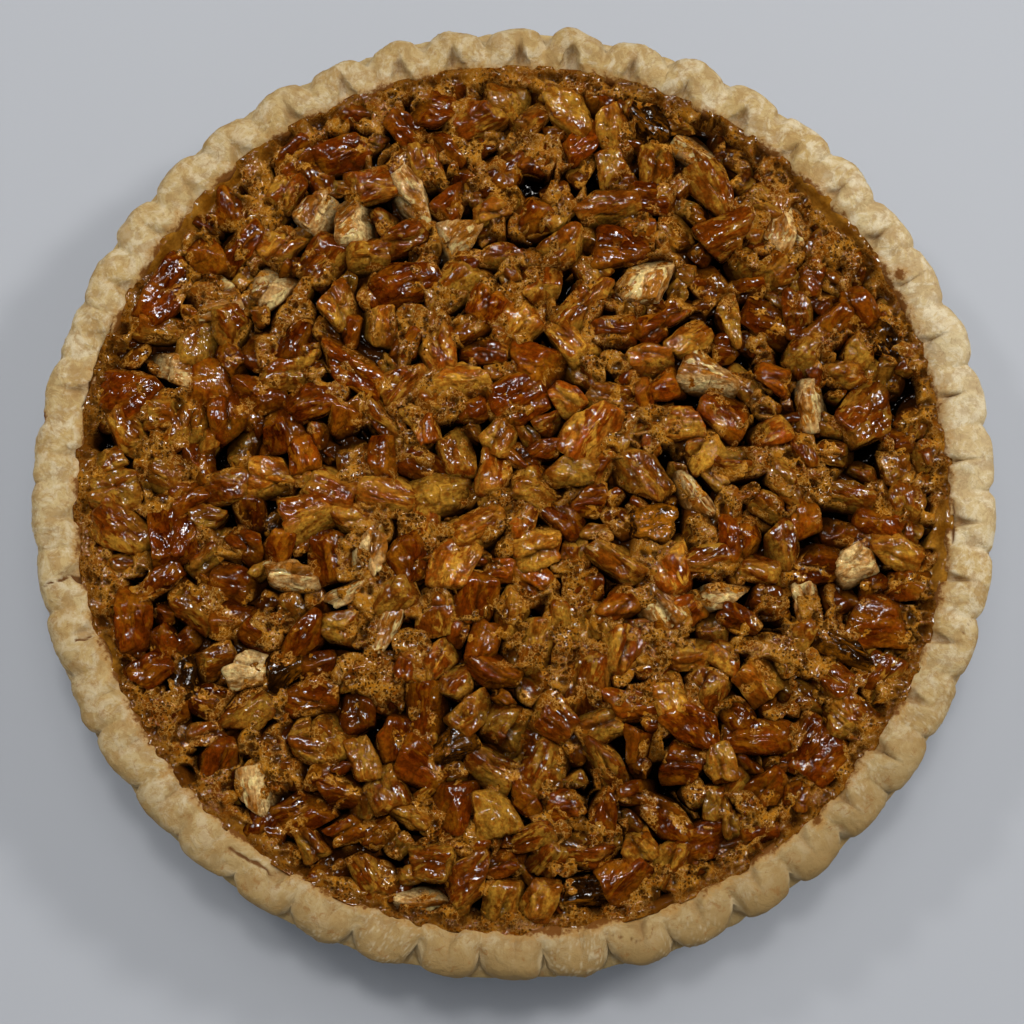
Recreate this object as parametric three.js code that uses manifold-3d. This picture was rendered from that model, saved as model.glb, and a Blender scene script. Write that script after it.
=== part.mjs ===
// A whole ten inch pecan pie in its tin. Millimetres, +Z up, the origin under the middle of the tin's flat base.
//
// The pie is three solids. The tin is a thin sloping pan with a rolled lip. The crust is one shell of pastry that lines
// the tin and ends in a fluted rim, pinched forty-six times, with a narrow ledge of dough over the tin's lip. The
// filling is a disc of set custard that fills the crust, with a layer of broken pecans standing out of its top.

import * as THREE from 'three';
import Module from 'manifold-3d';
import { mergeVertices } from 'three/addons/utils/BufferGeometryUtils.js';

const { seededRandom, lerp, degToRad, clamp } = THREE.MathUtils;

// Driving dimensions.
const BASE_RADIUS = 97;
const WALL_LEAN = 0.75; // how far the wall moves outwards for each millimetre of height
const TIN_THICKNESS = 0.8;
const PASTRY_THICKNESS = 4.4;
const BASE_PASTRY_THICKNESS = 3.9;
const CLEARANCE = 0.3; // between each solid and the next
const LIP_HEIGHT = 28;
const LIP_RADIUS = 123.4;
const CUSTARD_TOP = 32.4;
const CUSTARD_EDGE_DROP = 0.8;
const FLUTE_COUNT = 46;
const FLUTE_TURN = -4.16; // degrees from +X to the middle of the first flute

// How deep a surface lies behind the outside of the tin, measured square to the wall.
const TIN_INSIDE = TIN_THICKNESS;
const CRUST_OUTSIDE = TIN_INSIDE + CLEARANCE;
const CRUST_INSIDE = CRUST_OUTSIDE + PASTRY_THICKNESS;
const FILLING_OUTSIDE = CRUST_INSIDE + CLEARANCE;
const CRUST_FLOOR = CRUST_OUTSIDE + BASE_PASTRY_THICKNESS;
const FILLING_FLOOR = CRUST_FLOOR + CLEARANCE;

// The radius, at one height, of the cone that lies a given depth inside the tin's outer wall.
function wallRadius(height, depth) {
  return BASE_RADIUS + WALL_LEAN * height - depth * Math.hypot(1, WALL_LEAN);
}

function named(name, geometry, color, roughness, metalness = 0) {
  const material = new THREE.MeshStandardMaterial({ color, roughness, metalness });
  const mesh = new THREE.Mesh(geometry, material);
  mesh.name = name;
  return mesh;
}

// A body turned about the upright axis from [radius, height] pairs that run from the axis, round the outside, and back.
function turned(profile, segments) {
  const points = profile.map(([radius, height]) => new THREE.Vector2(radius, height));
  return new THREE.LatheGeometry(points, segments).rotateX(Math.PI / 2);
}

// ---------------------------------------------------------------------------------------------------------------
// The tin: pressed from one sheet, with a flat lip that ends in a small rolled bead.

const TIN_SEGMENTS = 92;
const BEAD_RADIUS = 0.7;

function tinGeometry() {
  const underLip = LIP_HEIGHT - TIN_THICKNESS;
  const bead = LIP_RADIUS - BEAD_RADIUS;
  return turned([
    [0, 0],
    [BASE_RADIUS, 0],
    [wallRadius(underLip, 0), underLip],
    [bead - BEAD_RADIUS, underLip],
    [bead, underLip - BEAD_RADIUS],
    [LIP_RADIUS, underLip],
    [bead, LIP_HEIGHT],
    [wallRadius(LIP_HEIGHT, TIN_INSIDE), LIP_HEIGHT],
    [wallRadius(TIN_THICKNESS, TIN_INSIDE), TIN_THICKNESS],
    [0, TIN_THICKNESS],
  ], TIN_SEGMENTS);
}

// ---------------------------------------------------------------------------------------------------------------
// The crust. Round the rim the pastry swells outwards in a row of flutes. A thumb has pinched a dent into the inner
// side of each flute, and a notch runs up the outer side between one flute and the next.

// The rim's rows, from its ledge over the top to the filling. Each has its own radius and height at the notch, and
// how far the row moves outwards on the swell, inwards in the notch, and outwards and downwards in the dent.
const RIM_ROWS = [
  { radius: 125.5, height: 29.6, swell: 0.4, notch: 0.0, dent: 0.0, dentDrop: 0.0 },
  { radius: 124.0, height: 30.4, swell: 2.2, notch: 2.0, dent: 0.0, dentDrop: 0.0 },
  { radius: 123.4, height: 33.4, swell: 3.6, notch: 2.4, dent: 0.0, dentDrop: 0.0 },
  { radius: 121.0, height: 36.8, swell: 3.2, notch: 1.4, dent: 0.0, dentDrop: 0.3 },
  { radius: 116.6, height: 37.0, swell: 0.0, notch: 0.0, dent: 4.2, dentDrop: 0.6 },
  { radius: 114.6, height: 34.4, swell: 0.0, notch: 0.0, dent: 3.2, dentDrop: 1.2 },
];
const LEDGE_RADIUS = 124.8;
const LEDGE_UNDERSIDE = LIP_HEIGHT + CLEARANCE;
const RIM_FOOT = 31.3;
const DENT_HALF_WIDTH = 0.16; // as a share of one flute
const NOTCH_HALF_WIDTH = 0.16;
const FLUTE_SEED = 46;
const COLUMNS_PER_FLUTE = 6;
const WALL_COLUMNS = FLUTE_COUNT * 2;
const FLOOR_COLUMNS = FLUTE_COUNT;

// No two pinches are alike: each flute has its own place, swell, dent and height.
function pinchedFlutes() {
  seededRandom(FLUTE_SEED);
  return Array.from({ length: FLUTE_COUNT }, () => ({
    shift: lerp(-0.08, 0.08, seededRandom()),
    swell: lerp(0.82, 1.0, seededRandom()),
    dent: lerp(0.7, 1.15, seededRandom()),
    lift: lerp(-0.5, 0.5, seededRandom()),
  }));
}

function ring(columns, radius, height) {
  return Array.from({ length: columns }, (_, column) => {
    const angle = column / columns * 2 * Math.PI;
    return new THREE.Vector3(radius * Math.cos(angle), radius * Math.sin(angle), height);
  });
}

function rimRing(row, flutes) {
  const columns = FLUTE_COUNT * COLUMNS_PER_FLUTE;
  return Array.from({ length: columns }, (_, column) => {
    const flute = flutes[Math.floor((column + COLUMNS_PER_FLUTE / 2) / COLUMNS_PER_FLUTE) % FLUTE_COUNT];
    const place = column / COLUMNS_PER_FLUTE;
    const fromMiddle = Math.abs(place - Math.round(place));
    const swell = Math.cos(fromMiddle * Math.PI) * flute.swell;
    const dent = clamp(1 - fromMiddle / DENT_HALF_WIDTH, 0, 1) * flute.dent;
    const notch = clamp(1 - (0.5 - fromMiddle) / NOTCH_HALF_WIDTH, 0, 1);
    const nearMiddle = 1 - 2 * fromMiddle;
    const radius = row.radius + row.swell * swell - row.notch * notch + row.dent * dent;
    const height = row.height - row.dentDrop * dent + flute.lift * nearMiddle * (row.height > RIM_FOOT ? 1 : 0);
    const angle = (place + flute.shift * nearMiddle) / FLUTE_COUNT * 2 * Math.PI;
    return new THREE.Vector3(radius * Math.cos(angle), radius * Math.sin(angle), height);
  });
}

// Closes a stack of rings into one skin. A ring may have twice or three times the points of the next, and a ring of
// one point closes the end.
function skinned(rings) {
  const start = [];
  const points = [];
  rings.forEach((each) => {
    start.push(points.length);
    points.push(...each);
  });
  const index = [];
  for (let band = 0; band + 1 < rings.length; band++) {
    const [low, high] = [rings[band].length, rings[band + 1].length];
    const steps = Math.max(low, high);
    const at = (level, count, step) => start[level] + Math.floor(step * count / steps + 0.5) % count;
    for (let step = 0; step < steps; step++) {
      const [a, b] = [at(band, low, step), at(band, low, step + 1)];
      const [c, d] = [at(band + 1, high, step), at(band + 1, high, step + 1)];
      if (a !== b) index.push(a, b, d);
      if (c !== d) index.push(a, d, c);
    }
  }
  const geometry = new THREE.BufferGeometry().setFromPoints(points);
  return geometry.setIndex(index);
}

function crustGeometry() {
  const flutes = pinchedFlutes();
  return skinned([
    ring(1, 0, CRUST_OUTSIDE),
    ring(FLOOR_COLUMNS, wallRadius(CRUST_OUTSIDE, CRUST_OUTSIDE), CRUST_OUTSIDE),
    ring(WALL_COLUMNS, wallRadius(LEDGE_UNDERSIDE, CRUST_OUTSIDE), LEDGE_UNDERSIDE),
    ring(WALL_COLUMNS, LEDGE_RADIUS, LEDGE_UNDERSIDE),
    ...RIM_ROWS.map((row) => rimRing(row, flutes)),
    ring(WALL_COLUMNS, wallRadius(RIM_FOOT, CRUST_INSIDE), RIM_FOOT),
    ring(FLOOR_COLUMNS, wallRadius(CRUST_FLOOR, CRUST_INSIDE), CRUST_FLOOR),
    ring(1, 0, CRUST_FLOOR),
  ]).rotateZ(degToRad(FLUTE_TURN));
}

// ---------------------------------------------------------------------------------------------------------------
// The filling: set custard with broken pecan halves on top, close together and at every angle.

const CUSTARD_SEGMENTS = 46;
const NUT_SEED = 1875;
const SPIRAL_SITES = 345;
const GOLDEN_ANGLE = Math.PI * (3 - Math.sqrt(5));
const SITE_JITTER = 5;
const SPREAD_RADIUS = 109;
const NUT_LIMIT_RADIUS = 112.2; // no nut reaches the crust
const NUT_LENGTH = [9.5, 15];
const NUT_SLENDERNESS = [0.58, 0.82];
const NUT_PROUD = [2.6, 5.2]; // how far the top of a nut stands out of the custard
const NUT_SUNK = 1.4;
const NUT_TILT = 11;
const NUT_TOP_SHARE = 0.62;
const SITE_CLOSENESS = 0.75; // a site this near to a set piece stays empty
const CLOSENESS = 0.86;
const SETTLING_ROUNDS = 14;

// The largest and the palest pieces have set places: [x, y, length, width, turn in degrees].
const SET_NUTS = [
  [-73, 66, 17, 11, 50], [-63, 66, 13, 8, 45], [-96, 55, 19, 11, 52], [-80, 52, 14, 12, 10],
  [-65, 54, 15, 9, 50], [-45, 91, 16, 10, 25], [-40, 82, 15, 9, 20], [-28, 78, 17, 11, -45],
  [-52, 75, 14, 9, 55], [-43, 72, 14, 12, 30], [-17, 68, 15, 11, 50], [-4, 86, 17, 10, 15],
  [-38, 63, 12, 9, 10], [-51, 61, 16, 12, 50], [-28, 56, 18, 11, 25], [-17, 54, 17, 10, 40],
  [-47, 49, 11, 10, -60], [-93, 42, 15, 8, -5], [-90, 32, 16, 8, -10], [-105, 26, 15, 13, 30],
  [-95, 20, 11, 11, 0], [-101, 13, 16, 8, -45], [-59, 44, 18, 11, 65], [-64, 2, 14, 11, -20],
  [-43, 33, 20, 12, -35], [-36, 44, 12, 10, 80], [-20, 38, 15, 9, -75], [-13, 29, 16, 8, 0],
  [0, 23, 17, 12, 30], [-29, 27, 14, 10, 45], [-34, 8, 12, 8, 75], [-34, -3, 16, 11, -15],
  [-19, -2, 15, 9, 10], [-9, -11, 16, 9, 20], [-103, -11, 17, 11, -35], [-89, -14, 15, 12, -80],
  [-58, -24, 15, 7, -3], [-93, -25, 15, 6, 45], [-99, -35, 16, 9, -80], [-84, -32, 15, 10, -35],
  [-65, -38, 12, 10, -50], [-38, -18, 15, 7, 85], [-44, -28, 13, 4, 25], [-35, -38, 16, 7, 68],
  [-42, -48, 13, 10, 10], [-52, -56, 14, 12, -15], [-79, -75, 16, 10, 80], [-66, -78, 16, 10, -80],
  [-54, -84, 14, 11, 25], [-33, -78, 14, 9, -60], [-7, -73, 16, 9, -30], [-21, -96, 13, 12, 10],
  [-23, -107, 14, 6, 0], [-37, -102, 13, 11, -60], [25, 76, 17, 11, 15], [54, 81, 16, 9, -60],
  [57, 68, 16, 11, 25], [36, 57, 15, 11, 60], [15, 41, 15, 10, -50], [19, 50, 15, 11, 60],
  [26, 42, 12, 9, 5], [57, 45, 16, 5, -80], [52, 29, 16, 12, -20], [20, 15, 17, 13, 65],
  [33, 3, 16, 12, -50], [46, -2, 14, 7, -55], [61, 7, 19, 9, 0], [68, 44, 16, 9, -20],
  [100, 38, 12, 7, -50], [79, 23, 14, 7, -80], [93, 19, 16, 13, 45], [86, -2, 17, 10, -10],
  [4, -42, 16, 11, 80], [18, -52, 18, 12, 80], [18, -26, 15, 10, 80], [28, -19, 16, 9, -35],
  [37, -30, 14, 10, -55], [27, -42, 12, 11, 75], [46, -44, 13, 9, 10], [31, -57, 16, 7, 0],
  [50, -53, 13, 12, 60], [47, -62, 18, 10, -40], [9, -60, 14, 12, -50], [55, -28, 14, 6, 15],
  [77, -31, 16, 7, -78], [94, -35, 15, 14, 0], [86, -42, 17, 8, -35], [64, -51, 13, 11, -40],
  [82, -49, 18, 8, -35], [99, -53, 14, 9, 60], [89, -62, 14, 11, -45], [75, -66, 15, 9, 60],
  [82, -74, 18, 12, 40], [8, -74, 13, 12, 60], [24, -73, 19, 9, -55], [44, -72, 13, 11, 0],
  [39, -86, 18, 9, -45], [18, -94, 15, 8, 0], [19, -104, 15, 7, 5],
];

const reach = (nut) => (nut.length + nut.width) / 4;
const distance = (one, other) => Math.hypot(one.x - other.x, one.y - other.y);

// The smaller pieces fill the space between, at the sites of a sunflower spiral, each shaken a little off its site.
function scatteredNuts() {
  const nuts = SET_NUTS.map(([x, y, length, width, turn]) => ({ x, y, length, width, turn, set: true }));
  seededRandom(NUT_SEED);
  for (let site = 0; site < SPIRAL_SITES; site++) {
    const radius = SPREAD_RADIUS * Math.sqrt((site + 0.5) / SPIRAL_SITES);
    const angle = site * GOLDEN_ANGLE;
    const x = radius * Math.cos(angle) + SITE_JITTER * (seededRandom() - 0.5);
    const y = radius * Math.sin(angle) + SITE_JITTER * (seededRandom() - 0.5);
    const length = lerp(...NUT_LENGTH, seededRandom());
    const width = length * lerp(...NUT_SLENDERNESS, seededRandom());
    const turn = 180 * seededRandom();
    const nut = { x, y, length, width, turn, set: false };
    const crowded = (other) => other.set && distance(nut, other) < (reach(nut) + reach(other)) * SITE_CLOSENESS;
    if (!nuts.some(crowded)) nuts.push(nut);
  }
  return nuts;
}

// Neighbours that lie on each other are eased apart, and all stay inside the crust.
function settle(nuts) {
  for (let round = 0; round < SETTLING_ROUNDS; round++) {
    const pushes = nuts.map((nut) => {
      const push = [0, 0];
      if (nut.set) return push;
      nuts.forEach((other) => {
        const apart = distance(nut, other);
        const overlap = (reach(nut) + reach(other)) * CLOSENESS - apart;
        if (other === nut || overlap <= 0) return;
        const share = other.set ? 1 : 0.5;
        push[0] += (nut.x - other.x) / apart * overlap * share;
        push[1] += (nut.y - other.y) / apart * overlap * share;
      });
      return push;
    });
    nuts.forEach((nut, number) => {
      nut.x += pushes[number][0];
      nut.y += pushes[number][1];
      keepInside(nut);
    });
  }
}

function keepInside(nut) {
  const radius = Math.hypot(nut.x, nut.y);
  const slant = degToRad(nut.turn) - Math.atan2(nut.y, nut.x);
  const outwards = Math.hypot(nut.length * Math.cos(slant), nut.width * Math.sin(slant)) / 2;
  const limit = NUT_LIMIT_RADIUS - outwards;
  if (radius > limit) {
    nut.x *= limit / radius;
    nut.y *= limit / radius;
  }
}

// One broken piece: a squat block of five or six sides, narrower at the top and a little tilted.
function nutGeometry(nut) {
  const proud = lerp(...NUT_PROUD, seededRandom());
  const [tiltX, tiltY] = [NUT_TILT * (seededRandom() * 2 - 1), NUT_TILT * (seededRandom() * 2 - 1)];
  const sides = nut.set ? 6 : 5;
  const height = proud + NUT_SUNK;
  const geometry = new THREE.CylinderGeometry(NUT_TOP_SHARE, 1, height, sides);
  geometry.rotateX(Math.PI / 2).translate(0, 0, height / 2);
  geometry.scale(nut.length / 2, nut.width / 2, 1);
  geometry.rotateX(degToRad(tiltX)).rotateY(degToRad(tiltY)).rotateZ(degToRad(nut.turn));
  return geometry.translate(nut.x, nut.y, CUSTARD_TOP - NUT_SUNK);
}

const wasm = await Module();
wasm.setup();

function solid(geometry) {
  geometry.deleteAttribute('normal');
  geometry.deleteAttribute('uv');
  const merged = mergeVertices(geometry);
  const vertProperties = Float32Array.from(merged.attributes.position.array);
  const triVerts = Uint32Array.from(merged.index.array);
  return new wasm.Manifold(new wasm.Mesh({ numProp: 3, vertProperties, triVerts }));
}

function geometryOf(manifold) {
  const mesh = manifold.getMesh();
  const geometry = new THREE.BufferGeometry();
  geometry.setAttribute('position', new THREE.BufferAttribute(mesh.vertProperties, 3));
  return geometry.setIndex(new THREE.BufferAttribute(mesh.triVerts, 1));
}

function fillingGeometry() {
  const custardEdge = CUSTARD_TOP - CUSTARD_EDGE_DROP;
  let filling = solid(turned([
    [0, FILLING_FLOOR],
    [wallRadius(FILLING_FLOOR, FILLING_OUTSIDE), FILLING_FLOOR],
    [wallRadius(custardEdge, FILLING_OUTSIDE), custardEdge],
    [wallRadius(CUSTARD_TOP, FILLING_OUTSIDE) - 2 * CUSTARD_EDGE_DROP, CUSTARD_TOP],
    [0, CUSTARD_TOP],
  ], CUSTARD_SEGMENTS));
  const nuts = scatteredNuts();
  settle(nuts);
  nuts.forEach((nut) => {
    filling = filling.add(solid(nutGeometry(nut)));
  });
  return geometryOf(filling);
}

const pie = new THREE.Group();
pie.add(named('tin', tinGeometry(), 0xc2c4c6, 0.35, 1));
pie.add(named('crust', crustGeometry(), 0xd2b284, 0.75));
pie.add(named('filling', fillingGeometry(), 0x8a4a17, 0.3));

export default pie;
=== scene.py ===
"""A whole ten inch pecan pie in its tin, with a real piece in place of each plain solid.

Lengths are millimetres until a mesh is made, and its points are then stored in metres. Z is up, and the
middle of the tin's base is the origin.
"""

import math

import bpy
import numpy as np
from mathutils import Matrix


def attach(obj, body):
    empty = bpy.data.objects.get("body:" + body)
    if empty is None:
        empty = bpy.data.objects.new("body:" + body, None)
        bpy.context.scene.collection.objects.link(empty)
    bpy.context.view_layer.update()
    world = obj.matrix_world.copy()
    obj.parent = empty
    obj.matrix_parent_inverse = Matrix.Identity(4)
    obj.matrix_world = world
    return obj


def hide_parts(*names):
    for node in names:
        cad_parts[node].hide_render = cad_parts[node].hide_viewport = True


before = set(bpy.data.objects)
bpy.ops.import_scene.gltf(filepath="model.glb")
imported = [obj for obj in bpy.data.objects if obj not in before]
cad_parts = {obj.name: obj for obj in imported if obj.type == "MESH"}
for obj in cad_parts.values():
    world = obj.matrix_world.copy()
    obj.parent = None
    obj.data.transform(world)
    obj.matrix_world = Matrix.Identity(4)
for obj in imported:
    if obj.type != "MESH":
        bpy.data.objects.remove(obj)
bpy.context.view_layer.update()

# ----------------------------------------------------------------------------------------------------
# The tin. A shallow pan pressed from one sheet of aluminium, with a flat base, a plain leaning wall and a
# narrow lip whose edge is rolled under. The pie was baked in it, and the crust hides its lip from above.

BASE_RADIUS = 97.0
WALL_LEAN = 0.75
WALL_FOOT = 4.0
WALL_HEAD = 1.5
TIN_THICKNESS = 0.8
TIN_BEND = 2.4
LIP_HEIGHT = 28.0
LIP_RADIUS = 123.4
BEAD_RADIUS = 0.7
BEAD_TURN = (-150, 90)
TIN_COLUMNS = 240
TIN_STEPS = 12
BEND_STEPS = 7
MILLIMETRE = 0.001


def wall_radius(height, depth):
    """The base radius plus the lean times the height, less the depth measured square to the wall."""
    return BASE_RADIUS + WALL_LEAN * height - depth * math.hypot(1, WALL_LEAN)


def wall(heights, depth):
    """Points of [radius, height] on the wall at each height."""
    return np.stack([wall_radius(heights, depth), heights], axis=1)


def arc(middle, radius, start, end, steps):
    """Points of [radius, height] on an arc: its middle plus the radius times the angle's cosine and sine."""
    turn = np.radians(np.linspace(start, end, steps))
    return np.stack([middle[0] + radius * np.cos(turn), middle[1] + radius * np.sin(turn)], axis=1)


def polar(radius, angle, height):
    """Points at a distance from the upright axis, at an angle round it and at a height."""
    return np.stack(np.broadcast_arrays(radius * np.cos(angle), radius * np.sin(angle), height), axis=-1)


def squares(number):
    """Four-cornered faces between the neighbours in a grid of point numbers."""
    corners = (number[..., :-1, :-1], number[..., 1:, :-1], number[..., 1:, 1:], number[..., :-1, 1:])
    return np.stack(corners, axis=-1)


def fan(pole, ring):
    """Three-cornered faces from a pole to each step of a ring."""
    return np.stack([np.full_like(ring, pole), ring, np.roll(ring, -1)], axis=1)


def closed_faces(rows, columns):
    """Faces of rows that go all the way round, with one pole point for the first row and one for the last."""
    number = np.arange(rows * columns).reshape(rows, columns)
    band = squares(np.concatenate([number, number[:, :1]], axis=1).T).swapaxes(0, 1)
    pole = rows * columns
    return [band.reshape(-1, 4), fan(pole, number[0])[:, ::-1], fan(pole + 1, number[-1])]


def piece(name, look, points, faces, flat=0, **values):
    """A smooth piece that rides with the pie. Its last arrays of faces can be flat. Points hold values."""
    mesh = bpy.data.meshes.new(name)
    mesh.vertices.add(len(points))
    mesh.vertices.foreach_set("co", np.asarray(points * MILLIMETRE, np.float32).ravel())
    corners = np.concatenate([face.ravel() for face in faces]).astype(np.int32)
    sizes = np.concatenate([np.full(len(face), face.shape[1]) for face in faces])
    starts = np.concatenate([[0], np.cumsum(sizes)[:-1]]).astype(np.int32)
    mesh.loops.add(len(corners))
    mesh.loops.foreach_set("vertex_index", corners)
    mesh.polygons.add(len(starts))
    mesh.polygons.foreach_set("loop_start", starts)
    smooth = np.arange(len(starts)) < len(starts) - sum(len(face) for face in faces[len(faces) - flat:])
    mesh.polygons.foreach_set("use_smooth", smooth)
    mesh.update(calc_edges=True)
    mesh.materials.append(look)
    for key, value in values.items():
        kind, field = ("FLOAT", "value") if value.ndim == 1 else ("FLOAT_VECTOR", "vector")
        layer = mesh.attributes.new(key, kind, "POINT")
        layer.data.foreach_set(field, np.asarray(value, np.float32).ravel())
    made = bpy.data.objects.new(name, mesh)
    bpy.context.scene.collection.objects.link(made)
    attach(made, "root")
    return made


def make_tin():
    """A profile carried round: out along the base, up the wall, round the lip and back down inside."""
    lean = math.degrees(math.atan(1 / WALL_LEAN))
    bend = (BASE_RADIUS - TIN_BEND * math.tan(math.radians(lean / 2)), TIN_BEND)
    bead = (LIP_RADIUS - BEAD_RADIUS, LIP_HEIGHT - BEAD_RADIUS)
    underside = LIP_HEIGHT - TIN_THICKNESS
    profile = np.concatenate([
        [[BASE_RADIUS / 2, 0]],
        arc(bend, TIN_BEND, -90, lean - 90, BEND_STEPS),
        wall(np.append(np.linspace(WALL_FOOT, underside - WALL_HEAD, TIN_STEPS), underside), 0),
        arc(bead, BEAD_RADIUS, *BEAD_TURN, TIN_STEPS),
        wall(np.append(LIP_HEIGHT, np.linspace(LIP_HEIGHT - WALL_HEAD, WALL_FOOT, TIN_STEPS)), TIN_THICKNESS),
        arc(bend, TIN_BEND - TIN_THICKNESS, lean - 90, -90, BEND_STEPS),
        [[BASE_RADIUS / 2, TIN_THICKNESS]],
    ])
    angle = np.arange(TIN_COLUMNS) / TIN_COLUMNS * 2 * math.pi
    around = polar(profile[:, :1], angle, profile[:, 1:]).reshape(-1, 3)
    points = np.concatenate([around, [[0, 0, 0], [0, 0, TIN_THICKNESS]]])
    return points, closed_faces(len(profile), TIN_COLUMNS)


def node(tree, kind, inputs=None, **settings):
    """Adds a shader node. An input that is another node's socket is linked, and any other is set."""
    new = tree.nodes.new(kind)
    for key, value in settings.items():
        setattr(new, key, value)
    for key, value in (inputs or {}).items():
        if isinstance(value, bpy.types.NodeSocket):
            tree.links.new(value, new.inputs[key])
        else:
            new.inputs[key].default_value = value
    return new


def blank_look(name):
    """A new material without any nodes, and its node tree."""
    look = bpy.data.materials.new(name)
    look.use_nodes = True
    look.node_tree.nodes.clear()
    return look, look.node_tree


def finish_look(look, inputs):
    """Gives a material its main shader, whose inputs are values or other nodes' sockets."""
    shader = node(look.node_tree, "ShaderNodeBsdfPrincipled", inputs)
    node(look.node_tree, "ShaderNodeOutputMaterial", {"Surface": shader.outputs["BSDF"]})
    return look


def texture(tree, size, detail=3.0, roughness=0.5, stretch=(1, 1, 1), distortion=0.0, place=None):
    """A noise pattern with lumps about size millimetres across, on the piece's own place or on another."""
    place = place or node(tree, "ShaderNodeTexCoord").outputs["Object"]
    if stretch != (1, 1, 1):
        place = node(tree, "ShaderNodeMapping", {"Vector": place, "Scale": stretch}).outputs["Vector"]
    inputs = {"Vector": place, "Scale": 1 / (size * MILLIMETRE), "Detail": detail}
    inputs |= {"Roughness": roughness, "Distortion": distortion}
    return node(tree, "ShaderNodeTexNoise", inputs).outputs["Fac"]


def spread(tree, value, low, high, to_low=0.0, to_high=1.0):
    """Carries the values between low and high to the values between to_low and to_high."""
    inputs = {"Value": value, "From Min": low, "From Max": high, "To Min": to_low, "To Max": to_high}
    return node(tree, "ShaderNodeMapRange", inputs, clamp=True).outputs["Result"]


def maths(tree, operation, one, other=0.0):
    """One step of arithmetic on two values."""
    return node(tree, "ShaderNodeMath", {0: one, 1: other}, operation=operation).outputs["Value"]


def bump(tree, height, strength, depth, under=None):
    """Tilts the surface as if it stood up to depth millimetres high where height is 1."""
    inputs = {"Height": height, "Strength": strength, "Distance": depth * MILLIMETRE}
    if under is not None:
        inputs["Normal"] = under
    return node(tree, "ShaderNodeBump", inputs).outputs["Normal"]


def make_tin_metal():
    """Satin aluminium: fine rubbed streaks round the pan and soft clouds change its roughness a little."""
    look, tree = blank_look("Satin aluminium")
    rubbed = texture(tree, 3.0, detail=6.0, stretch=(1, 1, 9))
    streaks = spread(tree, rubbed, 0.3, 0.7, 0.24, 0.38)
    clouds = spread(tree, texture(tree, 22.0), 0.3, 0.7, 0, 0.12)
    return finish_look(look, {
        "Metallic": 1.0,
        "Base Color": (0.72, 0.73, 0.74, 1),
        "Roughness": maths(tree, "ADD", streaks, clouds),
        "Normal": bump(tree, rubbed, 0.25, 0.05),
    })


tin = piece("pie_tin", make_tin_metal(), *make_tin())
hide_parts("tin")

# ----------------------------------------------------------------------------------------------------
# The crust. One sheet of shortcrust lines the tin and stands up as a thick fluted rim. A thumb has pinched a
# dent in the inner side of each flute, and a notch runs up the outer side between one flute and the next.

CLEARANCE = 0.3
PASTRY_THICKNESS = 4.4
BASE_PASTRY_THICKNESS = 3.9
CRUST_OUTSIDE = TIN_THICKNESS + CLEARANCE
CRUST_INSIDE = CRUST_OUTSIDE + PASTRY_THICKNESS
CRUST_FLOOR = CRUST_OUTSIDE + BASE_PASTRY_THICKNESS
LEDGE_UNDERSIDE = LIP_HEIGHT + CLEARANCE
LEDGE_RADIUS = 124.8
FLUTE_COUNT = 46
FLUTE_TURN = -4.16
FLUTE_SEED = 46
COLUMNS_PER_FLUTE = 36
RIM_STEPS = 53
DENT_HALF_WIDTH = 0.18
NOTCH_HALF_WIDTH = 0.14
GAP_SEED = 5
FLAKE_LAYERS = 3.4

# The range of each flute's shift along the rim, its swell and its dent as shares of the widest, and its lift.
FLUTE_RANGES = ((-0.08, 0.08), (0.82, 1.0), (0.7, 1.15), (-0.5, 0.5))

# How hard the rim was pinched: least at the sides, and more round a few angles, each with its spread and its
# strength.
LEAST_NOTCH = 0.26
NOTCH_STRENGTHS = ((272.0, 40.0, 0.84), (88.0, 36.0, 0.55), (140.0, 22.0, 0.15), (20.0, 30.0, 0.14))
SQUARE_SWELL = 0.45
ROUND_SWELLS = ((90.0, 75.0, 0.75),)
LEAST_DENT = 0.45
DENT_STRENGTHS = ((88.0, 36.0, 0.60), (0.0, 45.0, 0.45))
NARROW_DENTS = ((0.0, 45.0, -0.50),)
# Browning round the rim, each with its angle, spread and strength: browner at the back and left and paler at
# the right as baked, and darker at the front and front right as painted shade, away from the lights.
LEAST_BROWNING_AND_SHADE = 0.10
BROWNING_AND_SHADE_STRENGTHS = (
    (100.0, 45.0, 0.32), (262.0, 48.0, 0.95), (314.0, 28.0, 0.70), (200.0, 25.0, 0.15), (8.0, 42.0, -0.26),
)

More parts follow.
